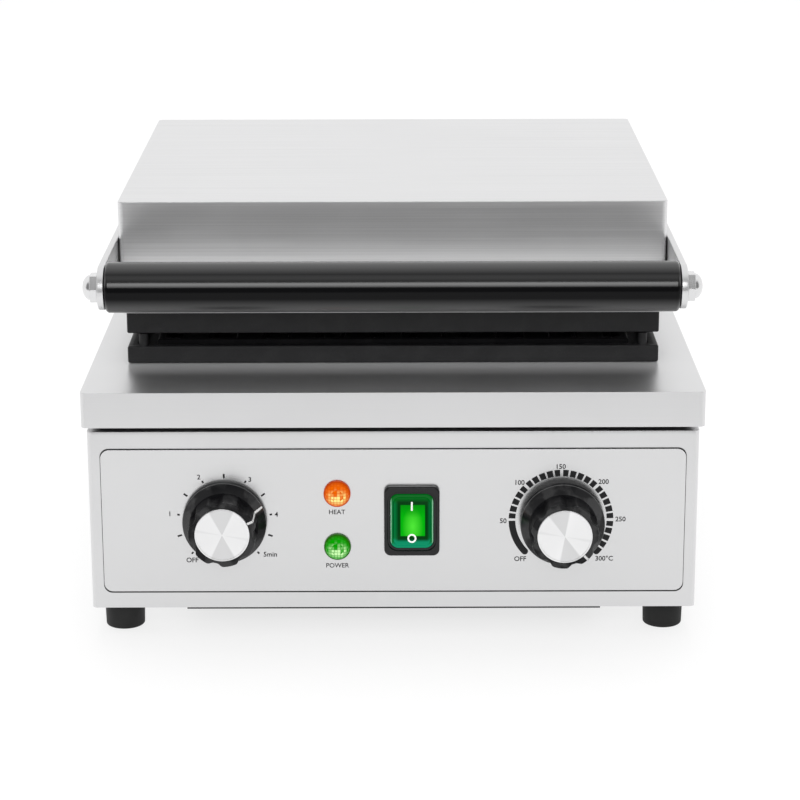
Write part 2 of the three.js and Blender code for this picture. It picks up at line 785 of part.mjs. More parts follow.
function lidFrame() {
  const half = coverHalf - sheet - seatGap;
  const y0 = coverFrontY + sheet + seatGap;
  const y1 = coverBackY - sheet - seatGap;
  const z0 = upperRimZ + upperFlange + seatGap;
  const open = panHalf + seatGap;
  const openDepth = panHalfDepth + seatGap;
  return cut(block(-half, half, y0, y1, z0, z0 + lidFrameUpstand),
    block(-half + sheet, half - sheet, y0 + sheet, y1 - sheet, z0 + sheet, z0 + lidFrameUpstand + overrun),
    block(-open, open, plateMidY - openDepth, plateMidY + openDepth, z0 - overrun, z0 + sheet + overrun));
}

// Hinge: brackets on the deck, a hollow tube through them and two arms on the cover's back
function hingeBracket(side) {
  const x0 = hingeSpacing / 2 + armThickness / 2 + hingeSideGap;
  const x1 = x0 + bracketThickness;
  const z0 = deckTopZ + seatGap;
  const half = bracketLength / 2;
  const web = new THREE.Shape();
  web.moveTo(hingeY - half, z0);
  web.lineTo(hingeY + half, z0);
  web.absarc(hingeY, hingeZ, hingeBoss, 0, Math.PI);
  web.lineTo(hingeY - half, z0);
  const angle = join(sideBar(web, x0, x1),
    block(x0, x1 + bracketFoot, hingeY - half, hingeY + half, z0, z0 + bracketThickness));
  const bracket = cut(angle,
    rodX(hingeTubeRadius + seatGap, x0 - overrun, x1 + overrun, hingeY, hingeZ));
  return side > 0 ? bracket : mirrored(bracket);
}

function mirrored(geometry) {
  return geometry.clone().scale(-1, 1, 1);
}

function hingeTubeEnd() {
  return hingeSpacing / 2 + armThickness / 2 + hingeSideGap + bracketThickness + seatGap
    + clipThickness + tubeEnd;
}

function hingeTube() {
  const end = hingeTubeEnd();
  return turned([[hingeTubeBore, -end], [hingeTubeRadius, -end], [hingeTubeRadius, end],
    [hingeTubeBore, end], [hingeTubeBore, -end]], plainSides)
    .rotateZ(Math.PI / 2).translate(0, hingeY, hingeZ);
}

function hingeClip(side) {
  const x1 = hingeTubeEnd() - tubeEnd;
  const x0 = x1 - clipThickness;
  const clip = cut(rodX(clipRadius, x0, x1, hingeY, hingeZ),
    rodX(hingeTubeRadius + seatGap, x0 - overrun, x1 + overrun, hingeY, hingeZ));
  return side > 0 ? clip : mirrored(clip);
}

function lidHingeArm(side) {
  const x1 = hingeSpacing / 2 + armThickness / 2;
  const x0 = x1 - armThickness;
  const y0 = coverBackY + seatGap;
  const z0 = hemZ + armFootRise;
  const z1 = z0 + armFootHeight;
  const web = new THREE.Shape();
  web.moveTo(y0, z1);
  web.lineTo(y0, z0);
  web.absarc(hingeY, hingeZ, hingeBoss, 1.1 * Math.PI, 2.1 * Math.PI);
  web.lineTo(y0 + armThickness, z1);
  const arm = cut(join(sideBar(web, x0, x1),
    block(x1 - armFootWidth, x1, y0, y0 + armThickness, z0, z1)),
  rodX(hingeTubeRadius + seatGap, x0 - overrun, x1 + overrun, hingeY, hingeZ));
  return side > 0 ? arm : mirrored(arm);
}

// Handle: a round grip on a steel rod, carried by an arm on each side of the lid
function handleGrip() {
  const end = coverHalf;
  const bore = gripRodRadius + seatGap;
  return turned([[bore, -end], [gripRadius, -end], [gripRadius, end], [bore, end], [bore, -end]])
    .rotateZ(Math.PI / 2).translate(0, gripY, gripZ);
}

function handleArm(side) {
  const x0 = coverHalf + seatGap;
  const x1 = x0 + armThickness;
  const half = handleArmHeight / 2;
  const tail = coverFrontY + handleArmTail;
  const outline = new THREE.Shape();
  outline.absarc(gripY, gripZ, half, Math.PI / 2, 1.5 * Math.PI);
  outline.absarc(tail, gripZ, half, -Math.PI / 2, Math.PI / 2);
  const arm = cut(sideBar(outline, x0, x1),
    rodX(gripRodRadius + seatGap, x0 - overrun, x1 + overrun, gripY, gripZ));
  return side > 0 ? arm : mirrored(arm);
}

function handleRodEnd() {
  return coverHalf + seatGap + armThickness + seatGap + domeLength / 2;
}

function handleRod() {
  const end = handleRodEnd();
  return rodX(gripRodRadius, -end, end, gripY, gripZ);
}

function handleNut(side) {
  const x0 = coverHalf + 2 * seatGap + armThickness;
  const hole = x0 + domeLength / 2 + seatGap;
  const nut = cut(turned([[0, 0], [domeRadius, 0], [domeRadius, -domeLength / 2],
    [domeRadius / 2, -domeLength], [0, -domeLength]], plainSides)
    .rotateZ(Math.PI / 2).translate(x0, gripY, gripZ),
  rodX(gripRodRadius + seatGap, x0 - overrun, hole, gripY, gripZ));
  return side > 0 ? nut : mirrored(nut);
}

// Base
add('housing_shell', housingShell(), steel);
add('rear_panel', rearPanel(), steel);
add('bottom_cover', bottomCover(), darkSteel);
add('deck_frame', deckFrame(), darkSteel);
add('top_deck', topDeck(), steel);
add('control_panel', controlPanel(), brushed);
for (const [row, y] of [['front', footSetback], ['rear', bodyDepth - footSetback]]) {
  for (const [hand, side] of [['left', -1], ['right', 1]]) {
    add(`foot_${row}_${hand}`, foot(), rubber).position.set(side * (bodyHalf - footInset), y, 0);
  }
}

const lowerPlate = add('lower_plate', castPlate(plateReveal - seatGap, true), castBlack);
lowerPlate.position.set(0, plateMidY, lowerRimZ);
const lowerPanZ = lowerRimZ - panDepth;
add('lower_element', heatingElement(lowerPanZ - seatGap - elementRadius, lowerTail), elementSteel);
add('lower_heat_shield', heatShield(lowerPanZ, -1), aluminium);
const shieldDepth = 2 * elementRadius + 3 * seatGap + shieldSheet;
add('lower_insulation', insulationMat(lowerPanZ - shieldDepth - seatGap - lowerMat, lowerMat), fibre);
add('thermostat_bulb', thermostatBulb(), copper);

for (const [name, side, width, depth, standoff, pointer] of [
  ['timer', -1, timerWidth, timerDepth, 0, timerPointer],
  ['thermostat', 1, thermostatWidth, thermostatDepth, thermostatStandoff, thermostatPointer]]) {
  const group = new THREE.Group();
  group.position.set(side * knobSpacing / 2, 0, controlZ);
  machine.add(group);
  const back = overlayFront - knobGap - standoff;
  add(`${name}_case`, controlCase(width, depth), beige, group);
  add(`${name}_nut`, bushNut(), steel, group);
  add(`${name}_shaft`, controlShaft(standoff), steel, group);
  add(`${name}_knob`, knob(back), blackPlastic, group).rotation.y = -pointer * Math.PI / 180;
  add(`${name}_knob_cap`, knobCap(back), aluminium, group);
}

for (const [name, rise, lens] of [
  ['heat', lampSpacing / 2, orangeLens],
  ['power', -lampSpacing / 2, greenLens]]) {
  const group = new THREE.Group();
  group.position.set(lampOffset, 0, middleZ + rise);
  machine.add(group);
  add(`${name}_lamp_body`, lampBody(), beige, group);
  add(`${name}_lamp_lens`, lampLens(), lens, group);
}

add('switch_frame', switchFrame(), blackPlastic);
add('switch_seal', switchSeal(), sealGreen);
const rocker = add('switch_rocker', switchRocker(), rockerGreen);
rocker.position.set(switchOffset, rockerPivotY(), middleZ);
rocker.rotation.x = -rockerTilt * Math.PI / 180;
add('terminal_block', terminalBlock(), beige);
add('cable_gland', cableGland(), blackPlastic);
add('gland_nut', glandNut(), blackPlastic);

// Lid and handle
add('lid_cover', lidCover(), brushed);
add('lid_frame', lidFrame(), darkSteel);
const upperPlate = add('upper_plate', castPlate(upperFlange, false), castBlack);
upperPlate.position.set(0, plateMidY, upperRimZ);
upperPlate.rotation.y = Math.PI;
const upperPanZ = upperRimZ + panDepth;
const upperTail = panInset + coverOverhang - sheet - terminalRoom;
add('upper_element', heatingElement(upperPanZ + seatGap + elementRadius, upperTail), elementSteel);
add('upper_heat_shield', heatShield(upperPanZ, 1), aluminium);
add('upper_insulation', insulationMat(upperPanZ + shieldDepth + seatGap, upperMat), fibre);
add('handle_grip', handleGrip(), blackPlastic);
add('handle_rod', handleRod(), steel);
add('hinge_tube', hingeTube(), steel);
for (const [hand, side] of [['left', -1], ['right', 1]]) {
  add(`handle_arm_${hand}`, handleArm(side), steel);
  add(`handle_nut_${hand}`, handleNut(side), steel);
  add(`hinge_bracket_${hand}`, hingeBracket(side), steel);
  add(`hinge_clip_${hand}`, hingeClip(side), steel);
  add(`lid_hinge_arm_${hand}`, lidHingeArm(side), steel);
}

// The origin is on the table under the middle of the whole machine
const frontReach = overlayFront - knobGap - thermostatStandoff - knobHeight;
const rearReach = bodyDepth + 2 * seatGap + sheet + glandBody + glandNose;
machine.position.y = -(frontReach + rearReach) / 2;

const group = new THREE.Group();
group.add(machine);

export default group;
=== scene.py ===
import json
import math

import bmesh
import bpy
from mathutils import Matrix, Vector


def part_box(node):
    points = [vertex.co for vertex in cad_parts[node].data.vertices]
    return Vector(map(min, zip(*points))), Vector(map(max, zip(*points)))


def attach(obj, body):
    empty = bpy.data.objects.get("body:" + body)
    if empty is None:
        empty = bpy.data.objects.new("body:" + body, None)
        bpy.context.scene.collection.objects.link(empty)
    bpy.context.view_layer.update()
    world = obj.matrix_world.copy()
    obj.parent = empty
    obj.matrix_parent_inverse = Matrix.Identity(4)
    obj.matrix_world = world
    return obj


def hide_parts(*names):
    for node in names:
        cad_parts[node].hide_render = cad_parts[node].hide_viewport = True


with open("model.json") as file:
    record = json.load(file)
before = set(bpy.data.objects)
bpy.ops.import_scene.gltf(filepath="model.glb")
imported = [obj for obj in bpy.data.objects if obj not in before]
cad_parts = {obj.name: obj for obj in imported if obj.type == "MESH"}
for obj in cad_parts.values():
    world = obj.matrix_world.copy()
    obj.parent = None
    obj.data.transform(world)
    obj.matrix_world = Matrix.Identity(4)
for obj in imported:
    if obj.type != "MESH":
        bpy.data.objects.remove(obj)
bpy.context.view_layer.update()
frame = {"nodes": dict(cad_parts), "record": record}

# A countertop waffle maker for two waffles. Metres, X right, Y back, Z up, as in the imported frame.
mm = 0.001
tiny = 0.02 * mm


# Ways of wiring shader nodes. A socket takes a plain value or a link
def feedOne(tree, socket, value):
    if isinstance(value, bpy.types.NodeSocket):
        tree.links.new(value, socket)
    elif value is not None:
        socket.default_value = value


def feed(tree, node, **sockets):
    for label, value in sockets.items():
        feedOne(tree, node.inputs[label.replace("_", " ")], value)


def maths(tree, operation, first, second=None, third=None, clamped=False):
    node = tree.nodes.new("ShaderNodeMath")
    node.operation = operation
    node.use_clamp = clamped
    for socket, value in zip(node.inputs, (first, second, third)):
        feedOne(tree, socket, value)
    return node.outputs[0]


def vectors(tree, operation, first, second=None):
    node = tree.nodes.new("ShaderNodeVectorMath")
    node.operation = operation
    feedOne(tree, node.inputs[0], first)
    feedOne(tree, node.inputs["Scale" if operation == "SCALE" else 1], second)
    return node.outputs["Value" if operation == "LENGTH" else "Vector"]


def ranged(tree, source, low, high, fromLow=0.3, fromHigh=0.7, smooth=False):
    node = tree.nodes.new("ShaderNodeMapRange")
    if smooth:
        node.interpolation_type = "SMOOTHSTEP"
    feed(tree, node, Value=source, From_Min=fromLow, From_Max=fromHigh, To_Min=low, To_Max=high)
    return node.outputs[0]


def noise(tree, vector, **settings):
    node = tree.nodes.new("ShaderNodeTexNoise")
    feed(tree, node, Vector=vector, **settings)
    return node.outputs[0]


def split(tree, vector):
    node = tree.nodes.new("ShaderNodeSeparateXYZ")
    feedOne(tree, node.inputs[0], vector)
    return node.outputs


def placed(tree):
    return tree.nodes.new("ShaderNodeTexCoord").outputs["Object"]


def placedFrom(tree, centre, tilt=0):
    node = tree.nodes.new("ShaderNodeMapping")
    node.vector_type = "TEXTURE"
    feed(tree, node, Vector=placed(tree), Location=centre, Rotation=(tilt, 0, 0))
    return node.outputs[0]


def radiusFrom(tree, centred):                        # distance from the axis that points at the viewer
    return vectors(tree, "LENGTH", vectors(tree, "MULTIPLY", centred, (1, 0, 1)))


def tinted(tree, factor, first, second):
    node = tree.nodes.new("ShaderNodeMix")
    node.data_type = "RGBA"
    for label, colour in (("A", first), ("B", second)):
        socket = [s for s in node.inputs if s.name == label and s.type == "RGBA"][0]
        feedOne(tree, socket, (*colour, 1) if isinstance(colour, tuple) else colour)
    feed(tree, node, Factor=factor)
    return [s for s in node.outputs if s.type == "RGBA"][0]


def bumped(tree, shader, height, distance, strength):
    node = tree.nodes.new("ShaderNodeBump")
    feed(tree, node, Height=height, Distance=distance, Strength=strength)
    feed(tree, shader, Normal=node.outputs[0])


def newFinish(name, **sockets):
    material = bpy.data.materials.new(name)
    material.use_nodes = True
    tree = material.node_tree
    shader = tree.nodes["Principled BSDF"]
    feed(tree, shader, **sockets)
    return material, shader, tree


# Camera, lights and floor
studio = {
    "lens": 117.18, "sensor": 36, "pitch": 16, "roll": -0.15, "place": (0.0032, -1.2829, 0.4415),
    "near": 0.05, "far": 30,
    "table": (4, -0.93, 4), "floorColour": (0.24, 0.24, 0.24, 1), "floorLift": 0.75,
    "darkFront": 0.23, "openSky": 1.0, "frontEdge": (-0.15, -0.5), "ceilingEdge": (0.97, 0.6),
    "strip": ((0, -1.45, 0.68), (0, -0.155, 0.17), 0.85, 0.5), "stripLight": 2.4, "fillLight": 5.6,
    "overhead": ((0, 0.45, 1.75), (0, 0, 0.1), 0.9, 1.6), "overheadLight": 2.4,
}


def addCamera():
    camera = bpy.data.objects.new("camera", bpy.data.cameras.new("camera"))
    camera.data.lens = studio["lens"]
    camera.data.sensor_width = studio["sensor"]
    camera.data.clip_start = studio["near"]
    camera.data.clip_end = studio["far"]
    camera.location = studio["place"]
    level = Matrix.Rotation(math.radians(90 - studio["pitch"]), 3, "X")
    roll = Matrix.Rotation(math.radians(studio["roll"]), 3, "Z")
    camera.rotation_euler = (level @ roll).to_euler()
    bpy.context.scene.collection.objects.link(camera)
    bpy.context.scene.camera = camera


def addSoftbox(name, shape, radiance, mirrored=True):
    place, aim, width, height = shape
    lamp = bpy.data.lights.new(name, "AREA")
    lamp.shape = "RECTANGLE"
    lamp.size = width
    lamp.size_y = height
    lamp.energy = radiance * math.pi * width * height
    box = bpy.data.objects.new(name, lamp)
    box.location = place
    box.rotation_euler = (Vector(aim) - Vector(place)).to_track_quat("-Z", "Y").to_euler()
    box.visible_camera = False
    box.visible_glossy = mirrored                     # bare steel reflects the plain studio instead
    bpy.context.scene.collection.objects.link(box)


def addWorld():
    world = bpy.data.worlds.new("studio")
    bpy.context.scene.world = world
    world.use_nodes = True
    tree = world.node_tree
    way = split(tree, tree.nodes.new("ShaderNodeTexCoord").outputs["Generated"])
    front = ranged(tree, way["Y"], 0, 1, *studio["frontEdge"], True)      # 1 behind the camera
    below = ranged(tree, way["Z"], 0, 1, *studio["ceilingEdge"], True)    # 1 below the ceiling
    dark = maths(tree, "MULTIPLY", front, below)
    level = ranged(tree, dark, studio["openSky"], studio["darkFront"], 0, 1)
    path = tree.nodes.new("ShaderNodeLightPath")
    seen = tree.nodes.new("ShaderNodeMix")            # the camera sees plain white
    feed(tree, seen, Factor=path.outputs["Is Camera Ray"], A=level, B=1)
    feed(tree, tree.nodes["Background"], Color=(1, 1, 1, 1), Strength=seen.outputs["Result"])


def addFloor():
    bpy.ops.object.select_all(action="DESELECT")
    side, front, back = studio["table"]
    bpy.ops.mesh.primitive_plane_add(size=1, location=(0, (front + back) / 2, 0))
    floor = bpy.context.active_object
    floor.name = "floor"
    floor.scale = (2 * side, back - front, 1)
    material, shader, tree = newFinish(
        "paleFloor", Base_Color=studio["floorColour"], Roughness=0.8, Specular_IOR_Level=0.2)
    path = tree.nodes.new("ShaderNodeLightPath").outputs
    seen = maths(tree, "MAXIMUM", path["Is Camera Ray"], path["Is Glossy Ray"])
    shown = maths(tree, "MAXIMUM", seen, path["Is Transmission Ray"])
    lift = maths(tree, "MULTIPLY", shown, studio["floorLift"])            # white, with a soft shadow
    feed(tree, shader, Emission_Color=(1, 1, 1, 1), Emission_Strength=lift)
    floor.data.materials.append(material)


bpy.context.scene.view_settings.view_transform = "Standard"
addCamera()
addWorld()
addFloor()
addSoftbox("frontStrip", studio["strip"], studio["stripLight"])
addSoftbox("frontFill", studio["strip"], studio["fillLight"], mirrored=False)
addSoftbox("overhead", studio["overhead"], studio["overheadLight"], mirrored=False)
print("scene: studio ready")


# Shader groups that several finishes share
def newGroup(name, inputs, outputs):
    group = bpy.data.node_groups.new(name, "ShaderNodeTree")
    for label, value in inputs.items():
        group.interface.new_socket(label, in_out="INPUT", socket_type="NodeSocketFloat").default_value = value
    for label in outputs:
        group.interface.new_socket(label, in_out="OUTPUT", socket_type="NodeSocketFloat")
    return group, group.nodes.new("NodeGroupInput").outputs, group.nodes.new("NodeGroupOutput")


def useGroup(tree, group, **values):
    node = tree.nodes.new("ShaderNodeGroup")
    node.node_tree = group
    feed(tree, node, **values)
    return node.outputs


def makeSheetGrain():                                 # long along X, fine in the other two
    sizes = {"Along": 6, "Across": 900, "Cloud": 9}
    tree, given, result = newGroup("sheetGrain", sizes, ["Streaks", "Clouds"])
    scale = tree.nodes.new("ShaderNodeCombineXYZ")
    feed(tree, scale, X=given["Along"], Y=given["Across"], Z=given["Across"])
    stretch = tree.nodes.new("ShaderNodeMapping")
    feed(tree, stretch, Vector=placed(tree), Scale=scale.outputs[0])
    feed(tree, result, Streaks=noise(tree, stretch.outputs[0], Scale=1, Detail=3, Roughness=0.65),
         Clouds=noise(tree, placed(tree), Scale=given["Cloud"], Detail=4))
    return tree


def makeHandling():
    tree, given, result = newGroup("handling", {"Size": 45, "Amount": 0.5}, ["Marks"])
    smears = noise(tree, placed(tree), Scale=given["Size"], Detail=6, Roughness=0.6, Distortion=0.7)
    spread = ranged(tree, smears, 0, 1, 0.42, 0.68, True)
    feed(tree, result, Marks=maths(tree, "MULTIPLY", spread, given["Amount"]))
    return tree


def makeMouldGrain():
    sizes = {"Fine": 2600, "Broad": 260, "Broad share": 0.3}
    tree, given, result = newGroup("mouldGrain", sizes, ["Height"])
    fine, broad = [noise(tree, placed(tree), Scale=given[label], Detail=2) for label in ("Fine", "Broad")]
    blend = tree.nodes.new("ShaderNodeMix")
    feed(tree, blend, Factor=given["Broad share"], A=fine, B=broad)
    feed(tree, result, Height=blend.outputs["Result"])
    return tree


sheetGrain = makeSheetGrain()
handling = makeHandling()
mouldGrain = makeMouldGrain()


# Finishes
def sheetSteel(name, dark, light, rough, roughSpread, grain,
               across=900, along=6, depth=0.004, metal=1.0):
    material, shader, tree = newFinish(name, Metallic=metal)
    texture = useGroup(tree, sheetGrain, Along=along, Across=across)
    marks = useGroup(tree, handling, Size=30, Amount=roughSpread)
    cloudy = tinted(tree, ranged(tree, texture["Clouds"], 0, 1), dark, light)
    streaky = ranged(tree, texture["Streaks"], 1 - grain, 1 + grain)
    drawn = ranged(tree, texture["Streaks"], rough - 0.02, rough + 0.02)
    feed(tree, shader, Base_Color=vectors(tree, "SCALE", cloudy, streaky),
         Roughness=maths(tree, "ADD", marks["Marks"], drawn))
    bumped(tree, shader, texture["Streaks"], depth * mm, 0.5)
    return material


def hazyDeck():                                       # satin steel, dulled by heat close round the plate
    material = sheetSteel("deckSteel", (0.72, 0.72, 0.725), (0.735, 0.735, 0.74), 0.32, 0.015, 0.008,
                          depth=0.0006)
    tree = material.node_tree
    low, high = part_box("lower_plate")
    centred = placedFrom(tree, (low + high) / 2)
    away = split(tree, vectors(tree, "SUBTRACT", vectors(tree, "ABSOLUTE", centred), (high - low) / 2))
    gap = maths(tree, "MAXIMUM", away["X"], away["Y"])
    haze = ranged(tree, gap, 0.96, 0.3, 25 * mm, -8 * mm, True)
    feed(tree, tree.nodes["Principled BSDF"], Metallic=haze)
    return material


def plastic(name, colour, rough, bump, specular=0.5, size=30):
    material, shader, tree = newFinish(name, Specular_IOR_Level=specular)
    marks = useGroup(tree, handling, Size=size, Amount=0.12)["Marks"]
    lighter = tuple(min(1, value * 1.3) for value in colour)
    feed(tree, shader, Base_Color=tinted(tree, marks, colour, lighter),
         Roughness=maths(tree, "ADD", marks, rough))
    bumped(tree, shader, useGroup(tree, mouldGrain)["Height"], bump * mm, 0.6)
    return material


def castCoating():                                    # shinier on the outer sides than within the plates
    material, shader, tree = newFinish("plateCoating")
    grain = useGroup(tree, mouldGrain, Fine=1500, Broad=140, Broad_share=0.35)["Height"]
    marks = useGroup(tree, handling, Size=60, Amount=0.8)["Marks"]
    speck = tree.nodes.new("ShaderNodeTexVoronoi")    # pale flecks in the non-stick coating
    feed(tree, speck, Vector=placed(tree), Scale=900)
    fleck = ranged(tree, speck.outputs["Distance"], 1, 0, 0.02, 0.12)
    base = tinted(tree, marks, (0.011, 0.011, 0.012), (0.017, 0.017, 0.018))
    at = split(tree, placed(tree))
    low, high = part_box("lower_plate")
    inside = 1
    for label, end, way in (("X", low.x, mm), ("X", high.x, -mm), ("Y", low.y, mm), ("Y", high.y, -mm)):
        mask = ranged(tree, at[label], 0, 1, end + 0.5 * way, end + 2.5 * way)
        inside = maths(tree, "MULTIPLY", inside, mask)
    feed(tree, shader, Base_Color=tinted(tree, fleck, base, (0.05, 0.05, 0.052)),
         Specular_IOR_Level=ranged(tree, inside, 0.4, 0.05, 0, 1),
         Roughness=ranged(tree, grain, 0.42, 0.56))
    bumped(tree, shader, grain, 0.05 * mm, 0.7)
    return material


def printWithPaintedGlow():                                       # white print on the lit cap, with a faint painted glow that keeps it white on the tilted cap
    material = plastic("printWithPaintedGlow", (0.93, 0.93, 0.93), 0.35, 0.002)
    tree = material.node_tree
    feed(tree, tree.nodes["Principled BSDF"], Emission_Color=(1, 1, 1, 1), Emission_Strength=0.35)
    return material


def polishedBar():                                    # painted reflection and shade: the shine is set by height, least just below the middle, dipping again in a band above it and greatest at the bottom
    material = plastic("polishedGrip", (0.0035, 0.0035, 0.004), 0.15, 0.001, size=14)
    tree = material.node_tree
    low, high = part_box("handle_grip")
    middle = (low.z + high.z) / 2
    height = split(tree, placed(tree))["Z"]

    def band(first, last, start, end):                # start and end in mm from the middle
        return ranged(tree, height, first, last, middle + start * mm, middle + end * mm)

    upper, lower = band(0.12, 1, 2, 3.6), band(1.4, 0, -10, -2.4)
    above = maths(tree, "ADD", band(1, 0.28, 5.5, 7.6), band(0, 0.7, 7.6, 10))
    shine = maths(tree, "MULTIPLY", maths(tree, "MAXIMUM", upper, lower), above)
    feed(tree, tree.nodes["Principled BSDF"], Specular_IOR_Level=shine, Roughness=band(0.32, 0.15, -3, 0))
    return material


finish = {
    "bodySteel": sheetSteel("satinSteel", (0.72, 0.72, 0.725), (0.735, 0.735, 0.74), 0.32, 0.03, 0.005,
                            depth=0.0004),
    "panelSteel": sheetSteel("panelSteel", (0.7, 0.7, 0.705), (0.705, 0.705, 0.71), 0.24, 0.01, 0.003,
                             depth=0.0001, metal=0.9),
    "deckSteel": hazyDeck(),
    "lidSteel": sheetSteel("brushedLid", (0.765, 0.765, 0.77), (0.777, 0.777, 0.782), 0.37, 0.02, 0.06,
                           across=1500, along=5, depth=0.005),
    "brightSteel": sheetSteel("brightSteel", (0.74, 0.74, 0.745), (0.78, 0.78, 0.785), 0.16, 0.08, 0.02),
    "darkSteel": plastic("darkSheet", (0.02, 0.02, 0.022), 0.42, 0.01),
    "coating": castCoating(),
    "elementSteel": sheetSteel("elementSteel", (0.1, 0.09, 0.08), (0.2, 0.17, 0.15), 0.42, 0.1, 0.1),
    "shield": sheetSteel("shieldSheet", (0.78, 0.78, 0.79), (0.85, 0.85, 0.86), 0.24, 0.1, 0.03),
    "fibre": plastic("fibreMat", (0.78, 0.75, 0.68), 0.8, 0.4, 0.2),
    "copper": sheetSteel("drawnCopper", (0.62, 0.3, 0.18), (0.72, 0.36, 0.22), 0.26, 0.1, 0.05),
    "caseBeige": plastic("caseMoulding", (0.66, 0.62, 0.52), 0.42, 0.02),
    "blackPlastic": plastic("blackMoulding", (0.009, 0.009, 0.01), 0.14, 0.003, 0.34),
    "gripBlack": polishedBar(),
    "rubber": plastic("mouldedRubber", (0.018, 0.018, 0.018), 0.6, 0.03, 0.35),
    "ink": plastic("blackInk", (0.012, 0.012, 0.013), 0.5, 0.002, 0.3),
    "white": plastic("whitePrint", (0.93, 0.93, 0.93), 0.35, 0.002),
    "whiteWithPaintedGlow": printWithPaintedGlow(),
}
print("scene: finishes ready")


# Ways of working that every piece uses
def only(piece):
    bpy.ops.object.select_all(action="DESELECT")
    piece.select_set(True)
    bpy.context.view_layer.objects.active = piece
    return piece


def named(piece, name):
    piece.name = name
    piece.data.name = name
    return piece


def started(name):
    bpy.ops.object.transform_apply(location=True, rotation=True, scale=True)
    return named(bpy.context.active_object, name)


def facing(node):                                     # X and Z of a node's middle, as seen from the front
    low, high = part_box(node)
    return (low.x + high.x) / 2, (low.z + high.z) / 2


def alongY(at, way):
    return abs(way.y) > 0.9


def alongZ(at, way):
    return abs(way.z) > 0.9


def addBox(name, low, high):
    low, high = Vector(low), Vector(high)
    bpy.ops.object.select_all(action="DESELECT")
    bpy.ops.mesh.primitive_cube_add(size=1, location=(low + high) / 2, scale=high - low)
    return started(name)


def addRod(name, radius, start, end, sides=48):
    start, end = Vector(start), Vector(end)
    bpy.ops.object.select_all(action="DESELECT")
    bpy.ops.mesh.primitive_cylinder_add(
        vertices=sides, radius=radius, depth=(end - start).length, location=(start + end) / 2,
        rotation=(end - start).to_track_quat("Z", "Y").to_euler())
    return started(name)


def laid(piece, turn=(0, 0, 0), place=(0, 0, 0)):
    only(piece)
    piece.rotation_euler = [math.radians(angle) for angle in turn]
    piece.location = place
    bpy.ops.object.transform_apply(location=True, rotation=True, scale=False)
    return piece


def editing(piece, kind):
    only(piece)
    bpy.ops.object.mode_set(mode="EDIT")
    bpy.ops.mesh.select_mode(type=kind)
    bpy.ops.mesh.select_all(action="DESELECT")
    return bmesh.from_edit_mesh(piece.data)


def pickFaces(piece, test):
    shape = editing(piece, "FACE")
    for face in shape.faces:
        if test(face.calc_center_median(), face.normal):
            face.select_set(True)
    bmesh.update_edit_mesh(piece.data)


def pickEdges(piece, test):
    shape = editing(piece, "EDGE")
    for edge in shape.edges:
        first, second = edge.verts[0].co, edge.verts[1].co
        if test((first + second) / 2, (second - first).normalized()):
            edge.select_set(True)
    bmesh.update_edit_mesh(piece.data)


def doneEditing(piece):
    bpy.ops.object.mode_set(mode="OBJECT")
    return piece


def closed(piece):
    bpy.ops.mesh.select_all(action="SELECT")
    bpy.ops.mesh.normals_make_consistent(inside=False)
    return doneEditing(piece)


def pull(way):
    bpy.ops.mesh.extrude_region_move(TRANSFORM_OT_translate={"value": way})


def cutFaces(piece, test, place, way):
    pickFaces(piece, test)
    bpy.ops.mesh.bisect(plane_co=place, plane_no=way)
    return doneEditing(piece)


def roundEdges(piece, test, offset, segments=4):
    pickEdges(piece, test)
    bpy.ops.mesh.bevel(offset=offset, segments=segments, affect="EDGES")
    return doneEditing(piece)


def dropFaces(piece, test):
    pickFaces(piece, test)
    bpy.ops.mesh.delete(type="FACE")
    return doneEditing(piece)


def applied(piece, kind, **settings):
    only(piece)
    modifier = piece.modifiers.new(kind.title(), kind)
    for label, value in settings.items():
        setattr(modifier, label, value)
    bpy.ops.object.modifier_apply(modifier=modifier.name)
    return piece


def cutAway(piece, *cutters):
    for cutter in cutters:
        applied(piece, "BOOLEAN", operation="DIFFERENCE", solver="EXACT", object=cutter)
        bpy.data.objects.remove(cutter)
    return piece


def joined(name, pieces):
    only(pieces[0])
    for piece in pieces:
        piece.select_set(True)
    bpy.ops.object.join()
    return named(pieces[0], name)


def copied(piece, name):
    only(piece)
    bpy.ops.object.duplicate()
    return named(bpy.context.active_object, name)


def softened(piece, width=0.25 * mm, segments=2, angle=35, smooth=55):
    applied(piece, "BEVEL", width=width, segments=segments, limit_method="ANGLE",
            angle_limit=math.radians(angle), use_clamp_overlap=True, miter_outer="MITER_ARC")
    return smoothed(piece, smooth)


def smoothed(piece, angle=55):
    only(piece)
    bpy.ops.object.shade_smooth_by_angle(angle=math.radians(angle))
    return applied(piece, "WEIGHTED_NORMAL", keep_sharp=True, weight=60)


def startPath(name, first):
    bpy.ops.object.select_all(action="DESELECT")
    bpy.ops.mesh.primitive_plane_add(size=1)
    piece = started(name)
    bpy.ops.object.mode_set(mode="EDIT")
    bpy.ops.mesh.select_mode(type="VERT")
    bpy.ops.mesh.select_all(action="SELECT")
    bpy.ops.mesh.merge(type="CENTER")
    bpy.ops.transform.translate(value=first)
    return piece


def drawPath(points):
    for start, end in zip(points, points[1:]):
        pull(Vector(end) - Vector(start))


def turned(name, profile, sides=64):                  # radius and height pairs, spun about Z
    points = [(radius, 0, height) for radius, height in profile]
    piece = startPath(name, points[0])
    drawPath(points)
    bpy.ops.mesh.select_all(action="SELECT")
    bpy.ops.mesh.spin(steps=sides, angle=math.tau, center=(0, 0, 0), axis=(0, 0, 1))
    bpy.ops.mesh.select_all(action="SELECT")
    bpy.ops.mesh.remove_doubles(threshold=0.002 * mm)
    return closed(piece)


def arc(radius, height, size, start, end, steps=5):   # points of a round stretch in a profile
    turns = [math.radians(start + (end - start) * step / steps) for step in range(steps + 1)]
    return [(radius + size * math.cos(turn), height + size * math.sin(turn)) for turn in turns]


